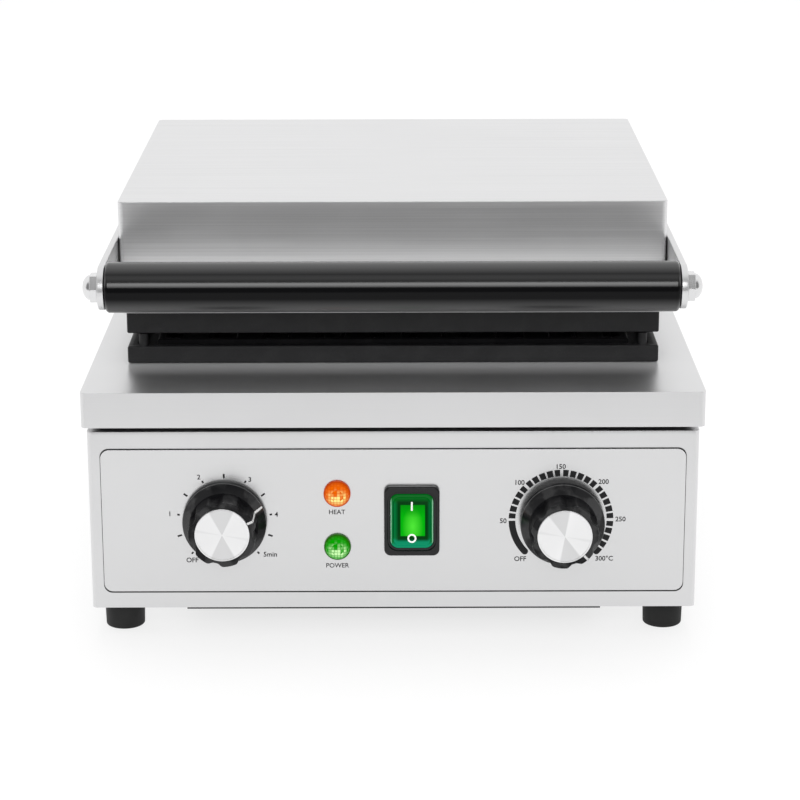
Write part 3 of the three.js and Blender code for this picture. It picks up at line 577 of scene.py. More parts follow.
def outlined(name, points, depth):                    # a plate seen from the front, its back at Y zero
    bpy.ops.object.select_all(action="DESELECT")
    bpy.ops.mesh.primitive_circle_add(vertices=len(points), radius=1, fill_type="NGON")
    piece = started(name)
    for corner, (x, z) in zip(piece.data.vertices, points):
        corner.co = (x, 0, z)
    only(piece)
    bpy.ops.object.mode_set(mode="EDIT")
    bpy.ops.mesh.select_all(action="SELECT")
    pull((0, -depth, 0))
    return closed(piece)


def dressed(piece, material, slot, body, *nodes):
    piece.data.materials.clear()
    piece.data.materials.append(material)
    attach(piece, body)
    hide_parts(*nodes)
    return piece


# Screws: one pan head with a cross recess, copied where sheets are fastened
screw = {"head": 3.1 * mm, "rise": 1.7 * mm, "slot": 0.75 * mm, "reach": 1.9 * mm, "sink": 1.0 * mm}


def panScrew():
    head = turned("panScrew", [(0, 0), (screw["head"], 0), (screw["head"], 0.35 * screw["rise"]),
                               (0.86 * screw["head"], 0.7 * screw["rise"]),
                               (0.55 * screw["head"], 0.94 * screw["rise"]), (0, screw["rise"])], 28)
    half, reach = screw["slot"] / 2, screw["reach"]
    top, low = screw["rise"] + mm, screw["rise"] - screw["sink"]
    cutAway(head, addBox("slotA", (-reach, -half, low), (reach, half, top)),
            addBox("slotB", (-half, -reach, low), (half, reach, top)))
    return smoothed(head, 40)


def screwsAt(name, places, turn, slot, body):
    first = panScrew()
    heads = [laid(copied(first, "head"), turn, place) for place in places]
    bpy.data.objects.remove(first)
    return dressed(joined(name, heads), finish["brightSteel"], slot, body)


# Lid: folded cover, upper plate, handle
lid = {"corner": 2.6 * mm, "fold": 0.4 * mm, "sheet": 1.2 * mm, "hemEdge": 0.2 * mm}


def lidCover():
    low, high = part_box("lid_cover")
    piece = addBox("lidCover", low, high)
    dropFaces(piece, lambda at, out: out.z < -0.5)
    roundEdges(piece, alongZ, lid["corner"], 6)
    roundEdges(piece, lambda at, way: at.z > high.z - tiny and abs(way.z) < 0.1, lid["fold"], 4)
    applied(piece, "SOLIDIFY", thickness=lid["sheet"], offset=-1, use_even_offset=True)
    softened(piece, lid["hemEdge"], 2, 60)
    dressed(piece, finish["lidSteel"], "brushed_lid", "lid", "lid_cover")


plate = {
    "rim": 5 * mm, "channel": 8 * mm, "channelDeep": 4 * mm, "wall": 4 * mm, "divider": 8 * mm,
    "pitch": 26 * mm, "across": 4, "along": 7, "mouldDeep": 12 * mm, "floor": 5 * mm,
    "studBase": 17 * mm, "studTaper": 2.25 * mm, "studHigh": 9.5 * mm, "panInset": 5 * mm,
    "round": 0.8 * mm, "lug": 2.2 * mm, "lugInset": 7.5 * mm, "lugRound": 0.4 * mm,
    "upperFlange": 12 * mm, "reveal": 8.4 * mm, "deckGap": 0.3 * mm,
}


def castPlate(name, low, high, flange):               # rim face at the top, at high.z
    width, depth = high.x - low.x, high.y - low.y
    middle = (low + high) / 2
    piece = addBox(name, (low.x, low.y, high.z - flange), high)
    pickFaces(piece, lambda at, out: out.z < -0.5)
    bpy.ops.mesh.inset(thickness=plate["panInset"])
    bottom = high.z - plate["mouldDeep"] - plate["floor"]
    pull((0, 0, bottom - (high.z - flange)))
    doneEditing(piece)
    pickFaces(piece, lambda at, out: out.z > 0.5)
    bpy.ops.mesh.inset(thickness=plate["rim"])
    pull((0, 0, -plate["channelDeep"]))
    bpy.ops.mesh.inset(thickness=plate["channel"])
    pull((0, 0, plate["channelDeep"]))
    islandWide = width / 2 - plate["rim"] - plate["channel"]
    islandDeep = depth / 2 - plate["rim"] - plate["channel"]
    inIsland = lambda at, out: (
        out.z > 0.5 and at.z > high.z - tiny
        and abs(at.x - middle.x) < islandWide and abs(at.y - middle.y) < islandDeep)
    doneEditing(piece)
    for side in (-1, 1):
        cut = (side * (plate["divider"] / 2 - plate["wall"]) + middle.x, 0, 0)
        cutFaces(piece, inIsland, cut, (1, 0, 0))
    pickFaces(piece, lambda at, out: inIsland(at, out) and abs(at.x - middle.x) > plate["divider"])
    bpy.ops.mesh.inset(thickness=plate["wall"], use_individual=True)
    pull((0, 0, -plate["mouldDeep"]))
    doneEditing(piece)
    floor = high.z - plate["mouldDeep"]
    onFloor = lambda at, out: out.z > 0.5 and abs(at.z - floor) < tiny
    for side in (-1, 1):
        for number in range(1, plate["across"]):
            x = middle.x + side * (plate["divider"] / 2 + number * plate["pitch"])
            cutFaces(piece, onFloor, (x, 0, 0), (1, 0, 0))
    for number in range(1, plate["along"]):
        y = middle.y + (number - plate["along"] / 2) * plate["pitch"]
        cutFaces(piece, onFloor, (0, y, 0), (0, 1, 0))
    pickFaces(piece, onFloor)
    bpy.ops.mesh.inset(thickness=(plate["pitch"] - plate["studBase"]) / 2, use_individual=True)
    bpy.ops.mesh.inset(thickness=plate["studTaper"], depth=plate["studHigh"], use_individual=True)
    return doneEditing(piece)


def upperPlate():
    low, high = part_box("upper_plate")
    tall = high.z - low.z
    piece = castPlate("upperPlate", Vector((low.x, low.y, -tall)), Vector((high.x, high.y, 0)),
                      plate["upperFlange"])
    laid(piece, (0, 180, 0), (0, 0, low.z))
    softened(piece, plate["round"], 2, 30, 50)
    dressed(piece, finish["coating"], "plate_coating", "lid", "upper_plate")


def lowerPlate():                                     # its rim stands above the deck, its lugs above that
    low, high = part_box("lower_plate")
    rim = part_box("top_deck")[1].z + plate["reveal"]
    piece = castPlate("lowerPlate", low, Vector((high.x, high.y, rim)), plate["reveal"] - plate["deckGap"])
    lugs = []
    for x in (low.x + plate["lugInset"], high.x - plate["lugInset"]):
        for y in (low.y + plate["rim"] / 2, high.y - plate["rim"] / 2):
            lugs.append(addRod("lug", plate["lug"], (x, y, rim - plate["round"]), (x, y, high.z), 24))
    softened(piece, plate["round"], 2, 30, 50)
    post = joined("lugs", lugs)
    softened(post, plate["lugRound"], 2, 30)
    piece = joined("lowerPlate", [piece, post])
    dressed(piece, finish["coating"], "plate_coating", "base", "lower_plate")


handle = {
    "edge": 1.6 * mm, "bore": 4.3 * mm, "armEdge": 0.5 * mm, "armEnd": 0.05 * mm,
    "hexHigh": 3.4 * mm, "hexEdge": 0.35 * mm, "crown": 0.8, "crownSunk": 0.2 * mm,
    "screwBack": 14 * mm, "screwPitch": 30 * mm,
}


def handleBar():
    low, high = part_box("handle_grip")
    radius = (high.z - low.z) / 2
    centre = (low + high) / 2
    end, edge, bore = high.x, handle["edge"], handle["bore"]
    right = arc(radius - edge, end - edge, edge, 0, 90)
    left = [(size, -along) for size, along in reversed(right)]
    profile = [(bore, -end), *left, *right, (bore, end), (bore, -end)]
    piece = laid(turned("handleGrip", profile, 96), (0, 90, 0), (0, centre.y, centre.z))
    smoothed(piece, 50)
    dressed(piece, finish["gripBlack"], "grip_black", "lid", "handle_grip")


def handleArms():
    for hand, side in (("Left", -1), ("Right", 1)):
        low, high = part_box("handle_arm_" + hand.lower())
        piece = addBox("handleArm" + hand, low, high)
        roundEdges(piece, lambda at, way: abs(way.x) > 0.9, (high.z - low.z) / 2 - handle["armEnd"], 14)
        softened(piece, handle["armEdge"], 3, 60)
        dressed(piece, finish["bodySteel"], "body_steel", "lid", "handle_arm_" + hand.lower())
        face = high.x if side > 0 else low.x
        middle = (low.z + high.z) / 2
        places = [(face, high.y - handle["screwBack"] - at, middle) for at in (0, handle["screwPitch"])]
        screwsAt("armScrews" + hand, places, (0, 90 * side, 0), "bright_steel", "lid")
        nutLow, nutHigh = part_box("handle_nut_" + hand.lower())
        reach = nutHigh.x - nutLow.x
        radius = (nutHigh.z - nutLow.z) / 2
        hexHigh, wide = handle["hexHigh"], radius * handle["crown"]
        hexagon = addRod("hex", radius, (0, 0, 0), (0, 0, hexHigh), 6)
        crown = [(size, hexHigh + (tall - hexHigh) * (reach - hexHigh) / wide)
                 for size, tall in arc(0, hexHigh, wide, 0, 90, 8)]
        dome = turned("dome", [(wide, hexHigh - handle["crownSunk"]), *crown], 40)
        softened(hexagon, handle["hexEdge"], 2, 30)
        smoothed(dome, 60)
        nut = joined("handleNut" + hand, [hexagon, dome])
        face = nutLow.x if side > 0 else nutHigh.x
        laid(nut, (0, 90 * side, 0), (face, (nutLow.y + nutHigh.y) / 2, (nutLow.z + nutHigh.z) / 2))
        dressed(nut, finish["brightSteel"], "bright_steel", "lid", "handle_nut_" + hand.lower())


lidCover()
upperPlate()
lowerPlate()
handleBar()
handleArms()
print("scene: lid, plates and handle made")


# Base: folded housing, deck tray, rear panel, feet
base = {
    "sheet": 1.2 * mm, "corner": 2.2 * mm, "fold": 0.15 * mm, "leadIn": (1.4 * mm, 0.14 * mm),
    "deckFold": 0.12 * mm, "deckCorner": 2.6 * mm, "deckHem": 4 * mm, "deckLap": 4 * mm,
    "hole": 5.3 * mm, "lampHole": 5.2 * mm, "switchLap": 1.5 * mm, "holeDeep": 12 * mm, "switchDeep": 10 * mm,
    "flange": 14 * mm, "footHole": 2.9 * mm, "underHole": (90 * mm, 19 * mm), "through": 4 * mm,
    "shellEdge": 0.18 * mm, "deckEdge": 0.15 * mm, "panelEdge": 0.2 * mm,
    "panelCorner": 2 * mm, "inlet": 6.4 * mm, "screwIn": (7 * mm, 6 * mm),
}
footNodes = ["foot_%s_%s" % (end, side) for end in ("front", "rear") for side in ("left", "right")]


def frontHoles():
    cutters = []
    depth = base["holeDeep"]
    for node, size, end in (("timer_nut", "hole", 1), ("thermostat_nut", "hole", 1),
                            ("heat_lamp_body", "lampHole", 0), ("power_lamp_body", "lampHole", 0)):
        x, z = facing(node)
        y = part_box(node)[end].y
        cutters.append(addRod("hole", base[size], (x, y - depth, z), (x, y + depth, z)))
    low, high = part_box("switch_frame")
    edge = base["switchLap"]
    cutters.append(addBox("hole", (low.x + edge, low.y, low.z + edge),
                          (high.x - edge, low.y + base["switchDeep"], high.z - edge)))
    return cutters


def housing():
    low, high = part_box("housing_shell")
    piece = addBox("housingShell", low, high)
    roundEdges(piece, lambda at, way: abs(way.z) > 0.9 and at.y < 0, base["corner"], 6)
    roundEdges(piece, lambda at, way: abs(way.z) < 0.1 and (at.y < 0 or abs(at.x) > high.x - mm),
               base["fold"], 3)
    tall, deep = base["leadIn"]                       # the front's top edge leans back a little
    cutFaces(piece, lambda at, out: out.y < -0.99, (0, 0, high.z - base["fold"] - tall), (0, 0, 1))
    pickEdges(piece, lambda at, way: (
        abs(way.x) > 0.9 and at.z > high.z - 1.5 * base["fold"] and at.y < low.y + 0.5 * mm))
    bpy.ops.transform.translate(value=(0, deep, 0))
    doneEditing(piece)
    dropFaces(piece, lambda at, out: out.y > 0.5)
    applied(piece, "SOLIDIFY", thickness=base["sheet"], offset=-1, use_even_offset=True)
    inner, through = base["flange"], base["through"]
    wide, deep = base["underHole"]
    cutters = [
        addBox("top", (low.x + inner, low.y + inner, high.z - through),
               (high.x - inner, high.y + through + mm, high.z + mm)),
        addBox("under", (-wide, low.y + deep, low.z - mm), (wide, high.y - deep, low.z + through)),
        *frontHoles(),
    ]
    for node in footNodes:
        footLow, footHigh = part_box(node)
        x, y = (footLow.x + footHigh.x) / 2, (footLow.y + footHigh.y) / 2
        cutters.append(addRod("hole", base["footHole"], (x, y, low.z - mm), (x, y, low.z + through), 24))
    cutAway(piece, *cutters)
    softened(piece, base["shellEdge"], 1, 50)
    dressed(piece, finish["bodySteel"], "body_steel", "base", "housing_shell")


def topDeck():
    low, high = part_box("top_deck")
    piece = addBox("topDeck", low, high)
    dropFaces(piece, lambda at, out: out.z < -0.5)
    roundEdges(piece, alongZ, base["deckCorner"], 6)
    roundEdges(piece, lambda at, way: at.z > high.z - tiny and abs(way.z) < 0.1, base["deckFold"], 4)
    panLow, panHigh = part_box("lower_plate")
    gap = base["deckLap"]
    for place, way in (((panLow.x + gap, 0, 0), (1, 0, 0)), ((panHigh.x - gap, 0, 0), (1, 0, 0)),
                       ((0, panLow.y + gap, 0), (0, 1, 0)), ((0, panHigh.y - gap, 0), (0, 1, 0))):
        cutFaces(piece, lambda at, out: out.z > 0.99 and at.z > high.z - tiny, place, way)
    dropFaces(piece, lambda at, out: out.z > 0.99 and panLow.x + gap < at.x < panHigh.x - gap
              and panLow.y + gap < at.y < panHigh.y - gap)
    pickEdges(piece, lambda at, way: at.z < low.z + tiny)
    bpy.ops.mesh.extrude_region_move()
    size = high - low
    bpy.ops.transform.resize(
        value=(1 - 2 * base["deckHem"] / size.x, 1 - 2 * base["deckHem"] / size.y, 1),
        center_override=((low.x + high.x) / 2, (low.y + high.y) / 2, low.z))
    doneEditing(piece)
    roundEdges(piece, lambda at, way: at.z < low.z + tiny and (
        abs(at.x) > high.x - 0.3 * mm or at.y < low.y + 0.3 * mm or at.y > high.y - 0.3 * mm),
        base["deckFold"], 3)
    applied(piece, "SOLIDIFY", thickness=base["sheet"], offset=-1, use_even_offset=True)
    softened(piece, base["deckEdge"], 1, 60)
    dressed(piece, finish["deckSteel"], "body_steel", "base", "top_deck")


vent = {
    "wide": 3.4 * mm, "pitch": 10 * mm, "rows": 4,
    "long": 22.4 * mm, "offset": 56 * mm, "rise": 52.8 * mm,
}


def rearPanel():
    low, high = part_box("rear_panel")
    piece = addBox("rearPanel", low, high)
    roundEdges(piece, alongY, base["panelCorner"], 5)
    cutters = []
    for side in (-1, 1):
        for row in range(vent["rows"]):
            z = low.z + vent["rise"] + (row - (vent["rows"] - 1) / 2) * vent["pitch"]
            x = side * vent["offset"]
            slot = addBox("slot", (x - vent["long"], low.y - mm, z - vent["wide"] / 2),
                          (x + vent["long"], high.y + mm, z + vent["wide"] / 2))
            cutters.append(roundEdges(slot, alongY, vent["wide"] / 2 - tiny, 6))
    x, z = facing("gland_nut")
    cutters.append(addRod("inlet", base["inlet"], (x, low.y - mm, z), (x, high.y + mm, z)))
    cutAway(piece, *cutters)
    softened(piece, base["panelEdge"], 2, 50)
    dressed(piece, finish["bodySteel"], "body_steel", "base", "rear_panel")
    side, end = base["screwIn"]
    spots = [(x, high.y, z) for z in (low.z + end, high.z - end) for x in (low.x + side, 0, high.x - side)]
    screwsAt("rearScrews", spots, (-90, 0, 0), "bright_steel", "base")


foot = {
    "dish": 4.5 * mm, "dishDeep": 1.2 * mm, "ring": (5.6 * mm, 0.9 * mm), "base": (8.1 * mm, 1 * mm),
    "waist": (9.3 * mm, 9 * mm), "shoulder": 14.7 * mm, "round": 0.6 * mm,
    "neck": 2.6 * mm, "neckTop": 16.5 * mm, "barb": 4.2 * mm,
}


def feet():                                           # push-in feet, hollow below, barbed above
    for name in footNodes:
        low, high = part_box(name)
        radius, tall = (high.x - low.x) / 2, high.z - low.z
        x, y = (low.x + high.x) / 2, (low.y + high.y) / 2
        (ring, inner), (sole, outer) = foot["ring"], foot["base"]
        shoulder, edge, neck, top = foot["shoulder"], foot["round"], foot["neck"], foot["neckTop"]
        profile = [(0, foot["dishDeep"]), (foot["dish"], foot["dishDeep"]),
                   *arc(ring, inner, inner, 180, 270, 3), *arc(sole, outer, outer, -90, 0, 4), foot["waist"],
                   *arc(radius - edge, shoulder - edge, edge, 0, 90, 3), (neck, shoulder),
                   (neck, top), (foot["barb"], top), (neck, tall), (0, tall)]
        piece = laid(turned("foot" + name.title().replace("_", "")[4:], profile, 40), place=(x, y, 0))
        smoothed(piece, 45)
        dressed(piece, finish["rubber"], "rubber", "base", name)


housing()
topDeck()
rearPanel()
feet()
print("scene: base made")


# Control panel: overlay on a dark gasket, printed scales, words
panel = {
    "corner": 4 * mm, "edge": 0.2 * mm, "gasketTop": 0.34 * mm, "gasketLow": 0.95 * mm,
    "gasketThick": 0.28 * mm, "gasketEdge": 0.08 * mm, "inkRise": 0.03 * mm,
    "tickWide": 0.85 * mm, "tickIn": 20.9 * mm, "tickShort": 22.1 * mm, "tickLong": 23.0 * mm,
    "printShift": (-0.45 * mm, 0.3 * mm), "ringIn": 21.0 * mm, "ringOut": 24.1 * mm,
    "capHigh": 2.25 * mm, "capShare": 0.7, "inkSpread": 0.06 * mm, "timerDrop": 0.2 * mm,
    "wordHigh": 2.15 * mm, "wordSpread": 0.035 * mm, "wordShift": -0.15 * mm,
}
# Angles in degrees from the right, up. The thermostat's bars have wider gaps at the numbers
dial = {
    "tickStart": 225, "tickStep": 27, "ticks": 11,
    "offBar": (181.2, 223), "barStart": 180, "barStep": 9, "bars": 25, "barsEnd": -43,
    "numberEvery": 5, "numberGap": 1.7, "barGap": 1.05,
}


def overlay():
    low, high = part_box("control_panel")
    piece = addBox("panelOverlay", low, high)
    roundEdges(piece, alongY, panel["corner"], 8)
    cutAway(piece, *frontHoles())
    softened(piece, panel["edge"], 2, 50)
    dressed(piece, finish["panelSteel"], "panel_steel", "base", "control_panel")
    wide = panel["gasketTop"]
    gasket = addBox("panelGasket", (low.x - wide, high.y, low.z - panel["gasketLow"]),
                    (high.x + wide, high.y + panel["gasketThick"], high.z + wide))
    roundEdges(gasket, alongY, panel["corner"], 8)
    cutAway(gasket, *frontHoles())
    softened(gasket, panel["gasketEdge"], 1, 60)
    dressed(gasket, finish["rubber"], "rubber", "base")
    return low.y


def word(text, x, z, face, tall, spread):
    bpy.ops.object.select_all(action="DESELECT")
    bpy.ops.object.text_add()
    piece = bpy.context.active_object
    piece.data.body = text
    piece.data.align_x = "CENTER"
    piece.data.align_y = "CENTER"
    piece.data.size = tall / panel["capShare"]
    piece.data.extrude = panel["inkRise"] / 2
    piece.data.offset = spread
    piece.data.resolution_u = 3
    bpy.ops.object.convert(target="MESH")
    return laid(bpy.context.active_object, (90, 0, 0), (x, face - panel["inkRise"] / 2, z))


def numbers(labels, centre, face):                    # texts with places in mm from a dial's middle
    return [word(text, centre[0] + x * mm, centre[1] + z * mm, face, panel["capHigh"], panel["inkSpread"])
            for text, x, z in labels]


def printed(name, parts):
    return dressed(smoothed(joined(name, parts), 30), finish["ink"], "panel_steel", "base")


def ink(name, points, face, centre):
    piece = outlined(name, points, panel["inkRise"])
    return laid(piece, place=(centre[0], face, centre[1]))


def polar(radius, angle):
    return (radius * math.cos(math.radians(angle)), radius * math.sin(math.radians(angle)))


def ringPart(start, end, face, centre, roundEnd=False):
    steps = max(2, round(abs(start - end) / 3))
    turns = [start + (end - start) * step / steps for step in range(steps + 1)]
    outer = [polar(panel["ringOut"], turn) for turn in turns]
    inner = [polar(panel["ringIn"], turn) for turn in reversed(turns)]
    half = (panel["ringOut"] - panel["ringIn"]) / 2
    middle = (panel["ringOut"] + panel["ringIn"]) / 2
    cap = []
    if roundEnd:
        x, z = polar(middle, end)
        way = 1 if end > start else -1
        sweep = [end + way * 180 * step / 8 for step in range(1, 8)]
        cap = [(x + polar(half, turn)[0], z + polar(half, turn)[1]) for turn in sweep]
    return ink("ringPart", outer + cap + inner, face, centre)


def timerScale(face):
    x, z = facing("timer_nut")
    centre = (x, z - panel["timerDrop"])
    parts = []
    for number in range(dial["ticks"]):
        angle = dial["tickStart"] - dial["tickStep"] * number
        outer = panel["tickShort"] if number % 2 == 0 else panel["tickLong"]
        start, end = polar(panel["tickIn"], angle), polar(outer, angle)
        half = polar(panel["tickWide"] / 2, angle + 90)
        points = [(start[0] + half[0], start[1] + half[1]), (end[0] + half[0], end[1] + half[1]),
                  (end[0] - half[0], end[1] - half[1]), (start[0] - half[0], start[1] - half[1])]
        parts.append(ink("tick", points, face, centre))
    labels = [("OFF", -15.4, -18.8), ("1", -25.2, 3.7), ("2", -11.5, 21.4), ("3", 11.9, 20.2),
              ("4", 23.8, 3.3), ("5min", 20.7, -16.1)]
    printed("timerScale", parts + numbers(labels, centre, face))


def thermostatScale(face):
    x, z = facing("thermostat_nut")
    right, up = panel["printShift"]
    centre = (x + right, z + up)
    parts = [ringPart(*dial["offBar"], face, centre, True)]
    gaps = [dial["barGap"] if number % dial["numberEvery"] else dial["numberGap"]
            for number in range(dial["bars"] + 1)]
    for number in range(dial["bars"]):
        start = dial["barStart"] - dial["barStep"] * number
        last = start - dial["barStep"] + gaps[number + 1]
        final = number == dial["bars"] - 1
        parts.append(ringPart(start - gaps[number], dial["barsEnd"] if final else last, face, centre, final))
    labels = [("OFF", -18.6, -19.1), ("50", -26.6, -0.6), ("100", -19.3, 17.9), ("150", -0.5, 25.5),
              ("200", 19.3, 18.2), ("250", 27.4, 0.1), ("300°C", 20.2, -19)]
    printed("thermostatScale", parts + numbers(labels, centre, face))


def lampWords(face):
    parts = []
    for node, text, drop in (("heat_lamp_body", "HEAT", 9.1), ("power_lamp_body", "POWER", 9.4)):
        x, z = facing(node)
        parts.append(word(text, x + panel["wordShift"], z - drop * mm, face,
                          panel["wordHigh"], panel["wordSpread"]))
    printed("lampWords", parts)


front = overlay()
timerScale(front)
thermostatScale(front)
lampWords(front)
print("scene: control panel made")


# Knobs: round skirt, grip of seven lobes, white pointer, spun cap
knob = {
    "skirt": 19.35 * mm, "rim": 3.4 * mm, "skirtHigh": 7.2 * mm, "skirtEdge": 0.6 * mm, "high": 19.6 * mm,
    "cavity": 9.5 * mm, "cavityDeep": 8 * mm, "wall": 3 * mm, "sunk": 0.5 * mm, "backEdge": 0.3 * mm,
    "lobe": 15.8 * mm, "lobes": 7, "flute": 1.6 * mm, "fluteArc": 29, "slope": 0.4,
    "taper": 0.975, "chamfer": 0.4 * mm,
    "capRadius": 12.5 * mm, "capThick": 1.3 * mm, "capFace": 20 * mm, "capEdge": 0.3 * mm,
    "capSeat": 1.2 * mm, "capGap": 0.2 * mm,
    "capBead": (0.9 * mm, 0.75 * mm), "capDish": (0.12 * mm, 0.1 * mm),
    "pointerWide": 1.05 * mm, "pointerRise": 0.06 * mm, "pointerThick": 0.12 * mm,
    "pointerStart": (0.2 * mm, 0.1 * mm),
}


def knobPlastic(name, centre):                        # glossy front and skirt, dull sides
    material, shader, tree = newFinish(name)
    centred = placedFrom(tree, centre)
    radius = radiusFrom(tree, centred)
    ahead = split(tree, centred)["Y"]
    skirt, high, skirtHigh = knob["skirt"], knob["high"], knob["skirtHigh"]
    rim = ranged(tree, radius, 0, 1, skirt - 0.08 * mm, skirt - 0.01 * mm)
    side = maths(tree, "MULTIPLY", ranged(tree, ahead, 0, 1, 0.3 * mm - high, 0.6 * mm - high),
                 ranged(tree, ahead, 1, 0, -0.1 * mm - skirtHigh, 0.1 * mm - skirtHigh))
    dull = maths(tree, "MAXIMUM", rim, side)
    # A painted highlight on the skirt's front edge: a lighter grey colour and extra shine on a thin ring.
    # Handled plastic is shinier in places
    edge = ranged(tree, radius, 0, 1, skirt - 0.25 * mm, skirt - 0.15 * mm)
    paintedGlint = maths(tree, "SUBTRACT", edge, rim, clamped=True)
    patch = noise(tree, placed(tree), Scale=95, Detail=3)
    shine = maths(tree, "MULTIPLY_ADD", ranged(tree, dull, 0.33, 0.06, 0, 1),
                  ranged(tree, patch, 0.45, 1.6, 0.46, 0.56), paintedGlint)
    marks = useGroup(tree, handling, Size=60, Amount=0.1)["Marks"]
    feed(tree, shader, Base_Color=tinted(tree, paintedGlint, (0.009, 0.009, 0.01), (0.11, 0.11, 0.11)),
         Specular_IOR_Level=shine,
         Roughness=maths(tree, "ADD", ranged(tree, dull, 0.13, 0.4, 0, 1), marks))
    bumped(tree, shader, useGroup(tree, mouldGrain)["Height"], 0.003 * mm, 0.6)
    return material


def spunCapFinish(name, centre, turn, half):          # painted reflection: two darker wedges and two thin dark streaks painted into the colour, the look of light on spun metal
    material, shader, tree = newFinish(name, Metallic=1.0, Roughness=0.34, Anisotropic=0.5)
    centred = placedFrom(tree, centre)
    at = split(tree, centred)
    angle = maths(tree, "ARCTAN2", at["X"], at["Z"])
    soft, paintedWedges = 2.5, 0                             # degrees
    for middle, reach, weight in ((turn, half, 1), (turn + 180, half, 1), (100, 3, 0.35), (-80, 3, 0.35)):
        away = maths(tree, "SUBTRACT", angle, math.radians(middle))
        size = maths(tree, "ABSOLUTE", maths(tree, "WRAP", away, math.pi, -math.pi))
        mask = ranged(tree, size, weight, 0, math.radians(reach - soft), math.radians(reach + soft))
        paintedWedges = maths(tree, "MAXIMUM", paintedWedges, mask)
    rings = tree.nodes.new("ShaderNodeTexNoise")
    rings.noise_dimensions = "1D"
    feed(tree, rings, W=vectors(tree, "LENGTH", centred), Scale=4500)
    tangent = tree.nodes.new("ShaderNodeTangent")
    tangent.direction_type = "RADIAL"
    tangent.axis = "Y"
    feed(tree, shader, Base_Color=tinted(tree, paintedWedges, (0.9, 0.9, 0.905), (0.7, 0.7, 0.705)),
         Tangent=tangent.outputs[0])
    bumped(tree, shader, rings.outputs[0], 0.004 * mm, 0.6)
    return material


def knobOutline():
    points = []
    spacing = 360 / knob["lobes"]
    for lobe in range(knob["lobes"]):
        middle = lobe * spacing
        half = (spacing - knob["fluteArc"]) / 2
        for step in range(7):
            points.append(polar(knob["lobe"], middle - half + 2 * half * step / 6))
        for step in range(1, 14):
            share = step / 14
            side = min(1, min(share, 1 - share) / knob["slope"])
            dip = side * side * (3 - 2 * side)
            points.append(polar(knob["lobe"] - knob["flute"] * dip, middle + half + knob["fluteArc"] * share))
    return points


def knobBody(seat):                                   # skirt and grip, the back at Y zero
    cavity, deep, edge, back = knob["cavity"], knob["cavityDeep"], knob["skirtEdge"], knob["backEdge"]
    outer, skirtHigh, high = knob["skirt"], knob["skirtHigh"], knob["high"]
    inner = knob["lobe"] - knob["wall"]
    skirt = turned("skirt", [(cavity, deep), (cavity, 0), (outer - back, 0), (outer, back),
                             *arc(outer - edge, knob["rim"] - edge, edge, 0, 40, 4),
                             (knob["lobe"], skirtHigh), (inner, skirtHigh), (inner, deep),
                             (cavity, deep)], 96)
    laid(skirt, (90, 0, 0))
    grip = outlined("grip", knobOutline(), high - skirtHigh + knob["sunk"])
    laid(grip, place=(0, -(skirtHigh - knob["sunk"]), 0))
    pickFaces(grip, lambda at, out: out.y < -0.9)
    bpy.ops.transform.resize(value=(knob["taper"], 1, knob["taper"]), center_override=(0, 0, 0))
    bpy.ops.mesh.bevel(offset=knob["chamfer"], segments=3, affect="EDGES")
    doneEditing(grip)
    cutAway(grip, addRod("seat", seat, (0, -high - mm, 0), (0, -high + knob["capSeat"], 0), 96))
    return [smoothed(skirt, 40), smoothed(grip, 32)]


def pointerLine(name, seat):
    rise, high, wide = knob["pointerRise"], knob["high"], knob["pointerWide"]
    tip = knob["lobe"] * knob["taper"]
    inset, below = knob["pointerStart"]
    path = [(knob["skirt"] - inset + rise, knob["rim"] - below + rise),
            (knob["lobe"] + rise, knob["skirtHigh"] + rise),
            (tip + rise, high - knob["chamfer"]), (tip - knob["chamfer"], high + rise), (seat, high + rise)]
    points = [(radius, 0, height) for radius, height in path]
    line = startPath(name, points[0])
    drawPath(points)
    bpy.ops.mesh.select_all(action="SELECT")
    pull((0, wide, 0))
    doneEditing(line)
    applied(line, "SOLIDIFY", thickness=knob["pointerThick"], offset=0)
    laid(line, place=(0, -wide / 2, 0))
    return smoothed(laid(line, (90, 0, 0)), 20)


def spunCap(name):
    radius, thick, edge = knob["capRadius"], knob["capThick"], knob["capEdge"]
    (inner, outer), (middle, side) = knob["capBead"], knob["capDish"]
    cap = turned(name, [(0, thick - middle), (radius - inner, thick - side), (radius - outer, thick),
                        *arc(radius - edge, thick - edge, edge, 90, 0, 4), (radius, 0), (0, 0)], 96)
    return smoothed(cap, 30)


def makeKnob(name, body, pointer, turn, half):
    x, z = facing(name + "_knob")
    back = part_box(name + "_knob")[1].y
    seat = knob["capRadius"] + knob["capGap"]
    piece = laid(joined(name + "Knob", knobBody(seat)), (0, -pointer, 0), (x, back, z))
    dressed(piece, knobPlastic(name + "Black", (x, back, z)), "black_plastic", body, name + "_knob")
    line = laid(pointerLine(name + "Pointer", seat), (0, -pointer, 0), (x, back, z))
    dressed(line, finish["white"], "black_plastic", body)
    face = back - knob["capFace"]
    cap = laid(spunCap(name + "Cap"), (90, 0, 0), (x, face + knob["capThick"], z))
    dressed(cap, spunCapFinish(name + "Spun", (x, face, z), turn, half), "spun_cap", body, name + "_knob_cap")


makeKnob("timer", "timer_dial", 24.8, -1, 27)
makeKnob("thermostat", "thermostat_dial", -46, -13.5, 23.5)
print("scene: knobs made")


# Lamps: domed lenses over a grid of prisms, lit from behind
lamp = {
    "radius": 6.2 * mm, "flange": 1.5 * mm, "dome": 4.8 * mm, "lip": 0.7 * mm, "edge": 0.5 * mm,
    "foot": 0.2 * mm, "sunk": 0.15 * mm, "prism": 1.45 * mm, "bulb": (0.3 * mm, 0, -1.0 * mm),
}


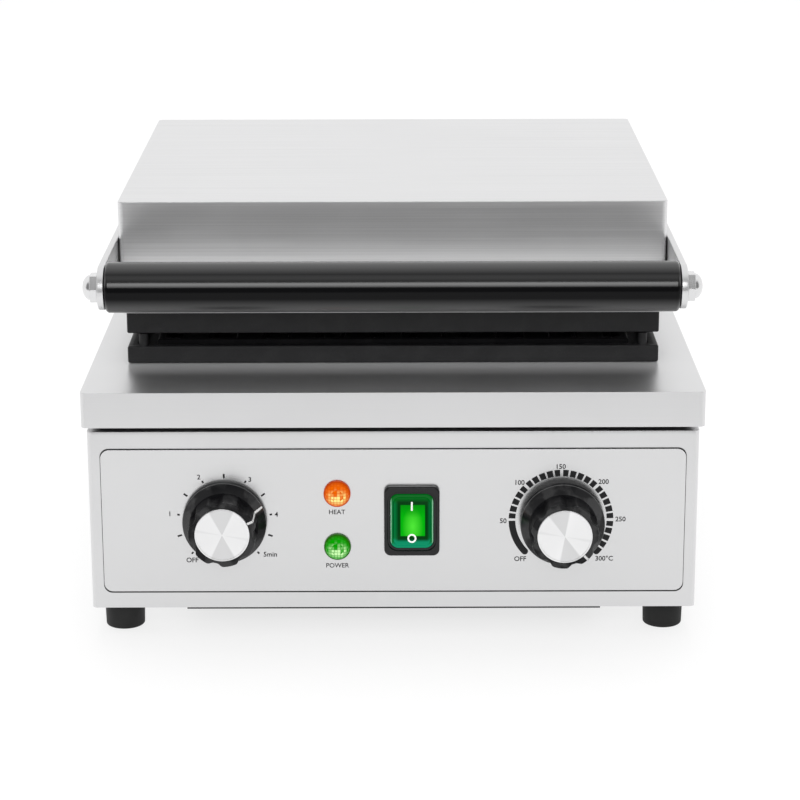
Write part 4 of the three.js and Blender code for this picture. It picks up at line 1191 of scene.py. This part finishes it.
def litLens(name, centre, deep, glow, spark):
    material, shader, tree = newFinish(
        name, Base_Color=(*(0.12 * value for value in deep), 1), Roughness=0.1,
        Specular_IOR_Level=0.04, Emission_Strength=1.0)
    centred = placedFrom(tree, centre)
    grid = vectors(tree, "SCALE", centred, 1 / lamp["prism"])
    cell = vectors(tree, "SUBTRACT", vectors(tree, "FRACTION", grid), (0.5, 0.5, 0.5))
    sides = split(tree, vectors(tree, "ABSOLUTE", cell))
    prism = maths(tree, "MAXIMUM", sides["X"], sides["Z"])
    chance = tree.nodes.new("ShaderNodeTexWhiteNoise")
    feed(tree, chance, Vector=vectors(tree, "FLOOR", grid))
    # The bulb behind lights the lower middle of the lens
    away = vectors(tree, "MULTIPLY", vectors(tree, "SUBTRACT", centred, lamp["bulb"]), (1, 0, 1.25))
    reach = ranged(tree, vectors(tree, "LENGTH", away), 1.35, 0.16, 0.7 * mm, 6 * mm)
    flash = ranged(tree, prism, 1, 0.05, 0.36, 0.48)
    pick = ranged(tree, chance.outputs["Value"], 0, 1.9, 0.2, 0.95)
    lit = maths(tree, "MULTIPLY", maths(tree, "MULTIPLY", flash, pick),
                maths(tree, "POWER", reach, 2.2), clamped=True)
    edge = ranged(tree, radiusFrom(tree, centred), 0, 1, lamp["radius"] * 0.76, lamp["radius"] * 0.97)
    body = tinted(tree, ranged(tree, prism, 0, 0.35, 0.36, 0.48), glow, deep)
    feed(tree, shader, Emission_Color=tinted(tree, lit, tinted(tree, edge, body, deep), spark))
    bumped(tree, shader, prism, 0.12 * mm, 0.35)
    return material


def makeLamp(name, slot, deep, glow, spark):
    x, z = facing(name + "_lamp_lens")
    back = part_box("control_panel")[0].y - lamp["sunk"]
    radius, flange, edge = lamp["radius"], lamp["flange"], lamp["edge"]
    crown = [((radius - lamp["lip"]) * math.cos(math.radians(turn)),
              flange + (lamp["dome"] - flange) * math.sin(math.radians(turn))) for turn in range(0, 91, 10)]
    profile = [(0, 0), (radius - lamp["foot"], 0), *arc(radius - edge, flange - edge, edge, 0, 80, 4), *crown]
    piece = turned(name + "Lens", profile, 64)
    laid(smoothed(piece, 40), (90, 0, 0), (x, back, z))
    material = litLens(name + "Glow", (x, back, z), deep, glow, spark)
    dressed(piece, material, slot, "base", name + "_lamp_lens")


makeLamp("heat", "orange_lens", (0.46, 0.045, 0.0), (0.84, 0.13, 0.0), (1.0, 0.9, 0.3))
makeLamp("power", "green_lens", (0.012, 0.1, 0.0), (0.0, 0.36, 0.0), (0.62, 1.0, 0.46))


# Switch: bezel, seal and lit rocker
switch = {
    "corner": 3 * mm, "edge": 0.9 * mm, "bezelDeep": 2.6 * mm, "recess": (1.4 * mm, 1 * mm),
    "bezelSoft": 0.25 * mm, "sealSoft": 0.35 * mm, "rockerSoft": 0.45 * mm, "casingSoft": 0.3 * mm,
    "casingIn": 1.8 * mm, "casingWall": 1.5 * mm, "casingLap": 0.2 * mm,
    "sealCorner": 3.6 * mm, "sealGap": 0.15 * mm, "opening": (8.6 * mm, 11.6 * mm), "openingCorner": 2.9 * mm,
    "rocker": (8.4 * mm, 11 * mm), "rockerCorner": 2.6 * mm, "pivot": 1.4 * mm, "root": 2 * mm,
    "tilt": 12, "rise": 2.4 * mm, "dip": 1.0 * mm,
    "window": (5.6 * mm, 7.15 * mm), "border": (7.35 * mm, 9.25 * mm), "glowShift": (0.4 * mm, 0, 0.35 * mm),
    "mark": 0.05 * mm, "stroke": (0.42 * mm, 2.1 * mm), "strokeUp": 6.9 * mm, "strokeCorner": 0.3 * mm,
    "loop": (1.3 * mm, 2.05 * mm), "loopDeep": 0.06 * mm, "loopDown": 7.9 * mm,
}


def sheenAndShadeBands(tree, height, half):                  # the green cap's border: a painted teal sheen below and painted dark shade on top
    paintedSheen = ranged(tree, height, 1, 0, -half + 1.6 * mm, -half + 3 * mm)
    dark = ranged(tree, height, 0, 1, half - 3.4 * mm, half - 1.8 * mm)
    sides = tinted(tree, dark, (0.0, 0.15, 0.032), (0.0, 0.115, 0.008))
    return tinted(tree, paintedSheen, sides, (0.0, 0.26, 0.125))


def litRocker(centre, half, tilt):
    material, shader, tree = newFinish(
        "litRocker", Base_Color=(0.0, 0.015, 0.004, 1), Roughness=0.12, Specular_IOR_Level=0.1,
        Emission_Strength=1.0)
    centred = placedFrom(tree, centre, tilt)
    at = split(tree, centred)
    zones = []
    for reach, soft in ((switch["window"], 0.2 * mm), (switch["border"], 0.7 * mm)):
        masks = [ranged(tree, maths(tree, "ABSOLUTE", at[label]), 1, 0, end - soft, end + soft)
                 for label, end in zip("XZ", reach)]
        zones.append(maths(tree, "MULTIPLY", *masks))
    tall = switch["window"][1]
    low = vectors(tree, "SUBTRACT", centred, (0, 0, -tall * 0.4))
    near = vectors(tree, "LENGTH", vectors(tree, "MULTIPLY", low, (1.35, 0, 0.7)))
    hot = ranged(tree, near, 1, 0, 0.5 * mm, 6.5 * mm)
    glow = tinted(tree, hot, (0.0, 0.44, 0.0), (0.075, 0.78, 0.035))
    shade = tinted(tree, ranged(tree, at["Z"], 0, 1, tall * 0.2, tall), glow, (0.0, 0.27, 0.0))
    border = tinted(tree, zones[1], sheenAndShadeBands(tree, at["Z"], half), (0.0, 0.035, 0.002))
    feed(tree, shader, Emission_Color=tinted(tree, zones[0], border, shade))
    bumped(tree, shader, useGroup(tree, mouldGrain, Fine=1800)["Height"], 0.01 * mm, 0.5)
    return material


def sealFinish(centre, halfWide, halfTall):
    material, shader, tree = newFinish(
        "greenSeal", Roughness=0.12, Specular_IOR_Level=0.12, Emission_Strength=1.0)
    at = split(tree, placedFrom(tree, centre))
    side = maths(tree, "ABSOLUTE", at["X"])           # painted highlights: lighter colour on thin strips at the left and right edges
    edge = ranged(tree, side, 0, 1, halfWide - 0.55 * mm, halfWide - 0.3 * mm)
    # The seal's colour is given as glow, with the painted sheen below and painted shade on top
    feed(tree, shader, Emission_Color=sheenAndShadeBands(tree, at["Z"], halfTall),
         Base_Color=tinted(tree, edge, (0.0, 0.02, 0.006), (0.5, 0.72, 0.6)))
    bumped(tree, shader, useGroup(tree, mouldGrain, Fine=1800)["Height"], 0.01 * mm, 0.5)
    return material


def makeBezel(low, high, sealLow, sealHigh):
    back = low.y + switch["bezelDeep"]
    bezel = addBox("switchBezel", low, (high.x, back, high.z))
    roundEdges(bezel, alongY, switch["corner"], 8)
    roundEdges(bezel, lambda at, way: abs(way.y) < 0.1 and at.y < low.y + tiny, switch["edge"], 4)
    wide, deep = switch["recess"]
    for name, grow, end in (("pocket", switch["sealGap"], back + mm), ("step", wide, low.y + deep)):
        hollow = addBox(name, (sealLow.x - grow, low.y - mm, sealLow.z - grow),
                        (sealHigh.x + grow, end, sealHigh.z + grow))
        corner = switch["sealCorner"] + (wide if name == "step" else 0)
        cutAway(bezel, roundEdges(hollow, alongY, corner, 8))
    softened(bezel, switch["bezelSoft"], 2, 60)
    inset = switch["casingIn"]
    casing = addBox("casing", (low.x + inset, back - switch["casingLap"], low.z + inset),
                    (high.x - inset, high.y, high.z - inset))
    dropFaces(casing, lambda at, out: out.y < -0.5)
    applied(casing, "SOLIDIFY", thickness=switch["casingWall"], offset=-1)
    softened(casing, switch["casingSoft"], 2, 50)
    bezel = joined("switchBezel", [bezel, casing])
    dressed(bezel, finish["blackPlastic"], "black_plastic", "base", "switch_frame")


def makeSeal(low, high, x, z):
    seal = addBox("switchSeal", low, high)
    roundEdges(seal, alongY, switch["sealCorner"], 8)
    wide, tall = switch["opening"]
    opening = addBox("opening", (x - wide, low.y - mm, z - tall), (x + wide, high.y + mm, z + tall))
    cutAway(seal, roundEdges(opening, alongY, switch["openingCorner"], 8))
    softened(seal, switch["sealSoft"], 3, 60)
    middle = (low + high) / 2
    material = sealFinish(middle, high.x - middle.x, high.z - middle.z)
    dressed(seal, material, "seal_green", "base", "switch_seal")


def makeRocker(pivot):
    (wide, half), rise, dip, root = switch["rocker"], switch["rise"], switch["dip"], switch["root"]
    points = [(-half, -root), (-half, rise), (0, rise - dip), (half, rise), (half, -root)]
    points = [(-wide, -ahead, up) for up, ahead in points]
    body = startPath("switchRocker", points[0])
    drawPath(points)
    bpy.ops.mesh.select_all(action="SELECT")
    bpy.ops.mesh.edge_face_add()
    bpy.ops.mesh.select_all(action="SELECT")
    pull((2 * wide, 0, 0))
    closed(body)
    roundEdges(body, lambda at, way: abs(way.y) > 0.9 and abs(at.z) > half - tiny, switch["rockerCorner"], 8)
    softened(body, switch["rockerSoft"], 3, 40)
    turn = (-switch["tilt"], 0, 0)
    laid(body, turn, pivot)
    material = litRocker(pivot + Vector(switch["glowShift"]), half, math.radians(-switch["tilt"]))
    dressed(body, material, "rocker_green", "rocker", "switch_rocker")

    slope = math.degrees(math.atan2(dip, half))
    (thin, tall), up, down = switch["stroke"], switch["strokeUp"], switch["loopDown"]
    stroke = addBox("stroke", (-thin, -switch["mark"], -tall), (thin, 0, tall))
    roundEdges(stroke, alongY, switch["strokeCorner"], 4)
    laid(stroke, (slope, 0, 0), (0, -(rise - dip * (1 - up / half)) - switch["mark"] / 2, up))
    (inner, outer), deep = switch["loop"], switch["loopDeep"]
    loop = turned("loop", [(inner, 0), (outer, 0), (outer, deep), (inner, deep), (inner, 0)], 40)
    laid(loop, (90 - slope, 0, 0), (0, -(rise - dip * (1 - down / half)), -down))
    marks = laid(joined("switchMarks", [stroke, loop]), turn, pivot)
    dressed(smoothed(marks, 30), finish["whiteWithPaintedGlow"], "rocker_green", "rocker")


def makeSwitch():
    low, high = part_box("switch_frame")
    sealLow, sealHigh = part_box("switch_seal")
    x, z = facing("switch_frame")
    makeBezel(low, high, sealLow, sealHigh)
    makeSeal(sealLow, sealHigh, x, z)
    makeRocker(Vector((x, low.y + switch["pivot"], z)))


makeSwitch()
print("scene: lamps and switch made")


# Hinge: brackets, arms and clips, with rounded edges
hinge = {"edge": 0.45 * mm, "clipEdge": 0.3 * mm}


def roundedCopy(name, node, material, slot, body, width):
    piece = copied(frame["nodes"][node], name)
    for label in list(piece.keys()):
        if label.startswith("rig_"):
            del piece[label]
    bpy.ops.object.mode_set(mode="EDIT")
    bpy.ops.mesh.select_all(action="SELECT")
    bpy.ops.mesh.remove_doubles(threshold=0.002 * mm)
    bpy.ops.mesh.dissolve_limited(angle_limit=math.radians(1))
    doneEditing(piece)
    softened(piece, width, 2, 35, 40)
    return dressed(piece, material, slot, body, node)


for hand in ("left", "right"):
    side, body, bright = hand.title(), finish["bodySteel"], finish["brightSteel"]
    roundedCopy("hingeBracket" + side, "hinge_bracket_" + hand, body, "body_steel", "base", hinge["edge"])
    roundedCopy("lidHingeArm" + side, "lid_hinge_arm_" + hand, body, "body_steel", "lid", hinge["edge"])
    roundedCopy("hingeClip" + side, "hinge_clip_" + hand, bright, "bright_steel", "base",
                hinge["clipEdge"])
print("scene: hinge made")


# The pieces kept as the frame gives them, each with its own finish
slotFinish = {
    "body_steel": "bodySteel", "panel_steel": "panelSteel", "brushed_lid": "lidSteel",
    "bright_steel": "brightSteel", "dark_steel": "darkSteel", "plate_coating": "coating",
    "element_steel": "elementSteel", "shield_metal": "shield", "insulation": "fibre",
    "copper": "copper", "control_case": "caseBeige", "black_plastic": "blackPlastic",
    "grip_black": "gripBlack", "rubber": "rubber",
}
for row in frame["record"]["subparts"]:
    node = frame["nodes"][row["node"]]
    if row["material_slot"] in slotFinish and not node.hide_render:
        node.data.materials.clear()
        node.data.materials.append(finish[slotFinish[row["material_slot"]]])

print("scene: finished")
